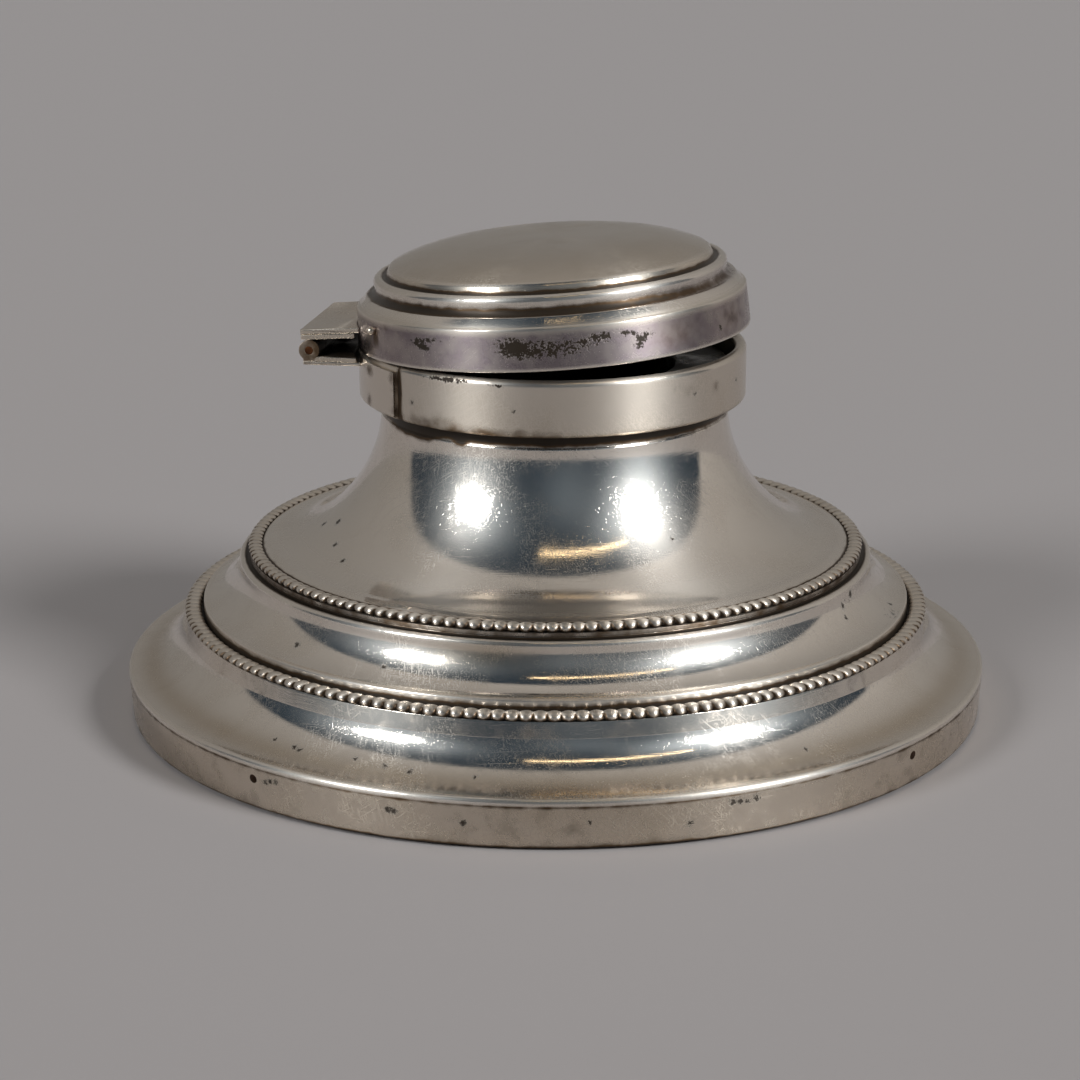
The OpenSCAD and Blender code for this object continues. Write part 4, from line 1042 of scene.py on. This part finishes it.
def studio_world(toward, lamps):
    """A warm grey paper sweep behind the object and up to overhead, a dim blue room in front of it, and the
    glow round each lamp.

    In a direction with depth d towards the camera, side s and height h, the room begins where
    d = 0.28 h - 0.27, and the paper's light is (0.24 + 0.2 (1 + d)) (1 + 0.2 s). A glow is the bell curve
    exp(-q^2) of the distance q from its lamp's direction, in which heights count less than half.
    """
    world = bpy.data.worlds.new("studio")
    world.use_nodes = True
    t = world.node_tree
    t.nodes.clear()
    way = add(t, "TexCoord").outputs["Generated"]
    depth, side = (add(t, "VectorMath", (way, axis), "DOT_PRODUCT").outputs["Value"] for axis in (
        (toward.x, toward.y, 0), (-toward.y, toward.x, 0)))
    edge = add(t, "Math", (add(t, "SeparateXYZ", (way,)).outputs["Z"], 0.28, -0.27), "MULTIPLY_ADD")
    room = masked(t, add(t, "Math", (depth, edge), "SUBTRACT"), -0.03, 0.05)
    level = add(t, "Math", (depth, 0.2, 0.44), "MULTIPLY_ADD")
    level = add(t, "Math", (level, add(t, "Math", (side, 0.2, 1.0), "MULTIPLY_ADD")), "MULTIPLY")
    paper = add(t, "VectorMath", {0: (1.0, 0.965, 0.925), "Scale": level}, "SCALE")
    shade = add(t, "Mix", {0: room, 6: paper, 7: (0.022, 0.038, 0.058, 1)}, data_type="RGBA")
    for lamp_way, strength in lamps:
        away = add(t, "VectorMath", (way, lamp_way), "SUBTRACT")
        away = add(t, "VectorMath", (away, (3.6, 3.6, 1.3)), "MULTIPLY")
        away = add(t, "VectorMath", (away, away), "DOT_PRODUCT").outputs["Value"]
        glow = add(t, "Math", (add(t, "Math", (away, -1.0), "MULTIPLY"),), "EXPONENT")
        glow = add(t, "VectorMath", {0: [strength * v for v in (0.78, 0.9, 1.0)], "Scale": glow}, "SCALE")
        shade = add(t, "VectorMath", (shade, glow), "ADD")
    add(t, "OutputWorld", {"Surface": add(t, "Background", {"Color": shade, "Strength": 1.0})})
    return world


def placed(name, data, origin, right, up, back):
    """Links an object that holds the data, at an origin, with its three axes."""
    made = bpy.data.objects.new(name, data)
    made.matrix_world = Matrix.Translation(origin) @ Matrix((right, up, back)).transposed().to_4x4()
    bpy.context.collection.objects.link(made)
    return made


def lamp(name, way, strength, tint, degrees):
    """A round soft light, far off in the direction way, as many degrees wide."""
    data = bpy.data.lights.new(name, "SUN")
    data.angle, data.energy, data.color = np.radians(degrees), strength, tint
    made = bpy.data.objects.new(name, data)
    made.location, made.rotation_euler = way * 2, way.to_track_quat("Z", "Y").to_euler()
    bpy.context.collection.objects.link(made)


def strip_lamp(name, ends, width, power, tint):
    """A narrow strip light from one end to the other, facing the middle of the object."""
    data = bpy.data.lights.new(name, "AREA")
    data.shape, data.size, data.size_y = "RECTANGLE", (ends[1] - ends[0]).length, width
    data.energy, data.color = power, tint
    middle, along = (ends[0] + ends[1]) / 2, (ends[1] - ends[0]).normalized()
    away = (middle - along * middle.dot(along)).normalized()
    placed(name, data, middle, along, away.cross(along), away)


class INKSTAND_OT_stage(bpy.types.Operator):
    """Set the floor, the lights and the camera"""

    bl_idname = "inkstand.stage"
    bl_label = "Set the stage"

    def execute(self, context):
        mesh = bpy.data.meshes.new("floor")
        corners = [(x * 6.0, y * 6.0, 0) for x, y in ((-1, -1), (1, -1), (1, 1), (-1, 1))]
        mesh.from_pydata(corners, [], [(0, 1, 2, 3)])
        mesh.materials.append(matt_paper(context.scene.inkstand_colours))
        floor = bpy.data.objects.new("floor", mesh)
        context.collection.objects.link(floor)

        # The camera, 0.41 m away and 16 degrees up, looks along ahead and is turned a little about it
        upright = Vector((0, 0, 1))
        ahead, roll = Vector((-0.16386, 0.94558, -0.28038)).normalized(), -0.00425
        right = ahead.cross(upright).normalized()
        up = right.cross(ahead)
        right, up = right * np.cos(roll) + up * np.sin(roll), up * np.cos(roll) - right * np.sin(roll)
        data = bpy.data.cameras.new("camera")
        data.sensor_width, data.lens, data.clip_start = 36, 91.855, 0.01
        context.scene.camera = placed("camera", data, (0.06498, -0.38812, 0.13847), right, up, -ahead)

        toward = Vector((-ahead.x, -ahead.y, 0)).normalized()
        across = Vector((-toward.y, toward.x, 0))
        # Two soft lights in front, by their turn from the camera's side and their height in degrees
        lamps = []
        for name, turn, lift, strength in (("left_softbox", -55, 32, 2.0), ("right_softbox", 56, 34, 3.3)):
            a, e = np.radians(turn), np.radians(lift)
            way = (toward * np.cos(a) + across * np.sin(a)) * np.cos(e) + upright * np.sin(e)
            lamp(name, way, strength, (0.95, 0.98, 1.0), 19)
            lamps.append((way, 0.42 * strength))
        lamps.append((toward * 0.86 + across * 0.12 + upright * 0.48, 0.13))
        context.scene.world = studio_world(toward, lamps)
        ends = [toward * 0.6 + across * side + upright * 1.5 for side in (-0.17, 0.85)]
        strip_lamp("warm_strip", ends, 0.07, 0.8, (1.0, 0.78, 0.48))
        context.scene.view_settings.view_transform = "Standard"
        return {"FINISHED"}


STEPS = (INKSTAND_OT_stage, INKSTAND_OT_tiers, INKSTAND_OT_beads, INKSTAND_OT_collar, INKSTAND_OT_hinge,
         INKSTAND_OT_lid, INKSTAND_OT_liner, INKSTAND_OT_brads, INKSTAND_OT_fillings)


class INKSTAND_PT_panel(bpy.types.Panel):
    """Sizes, colours and steps of the inkstand"""

    bl_label = "Inkstand"
    bl_idname = "INKSTAND_PT_panel"
    bl_space_type = "VIEW_3D"
    bl_region_type = "UI"
    bl_category = "Inkstand"

    def draw(self, context):
        for group in (context.scene.inkstand_sizes, context.scene.inkstand_colours):
            box = self.layout.box()
            for key in type(group).__annotations__:
                box.prop(group, key)
        for step in STEPS:
            self.layout.operator(step.bl_idname)


CLASSES = (InkstandSizes, InkstandColours, *STEPS, INKSTAND_PT_panel)


def register():
    for each in CLASSES:
        bpy.utils.register_class(each)
    bpy.types.Scene.inkstand_sizes = PointerProperty(type=InkstandSizes)
    bpy.types.Scene.inkstand_colours = PointerProperty(type=InkstandColours)


def unregister():
    del bpy.types.Scene.inkstand_colours, bpy.types.Scene.inkstand_sizes
    for each in reversed(CLASSES):
        bpy.utils.unregister_class(each)


def main():
    register()
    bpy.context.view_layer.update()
    for step in STEPS:
        group, name = step.bl_idname.split(".")
        getattr(getattr(bpy.ops, group), name)()


if __name__ == "__main__":
    main()
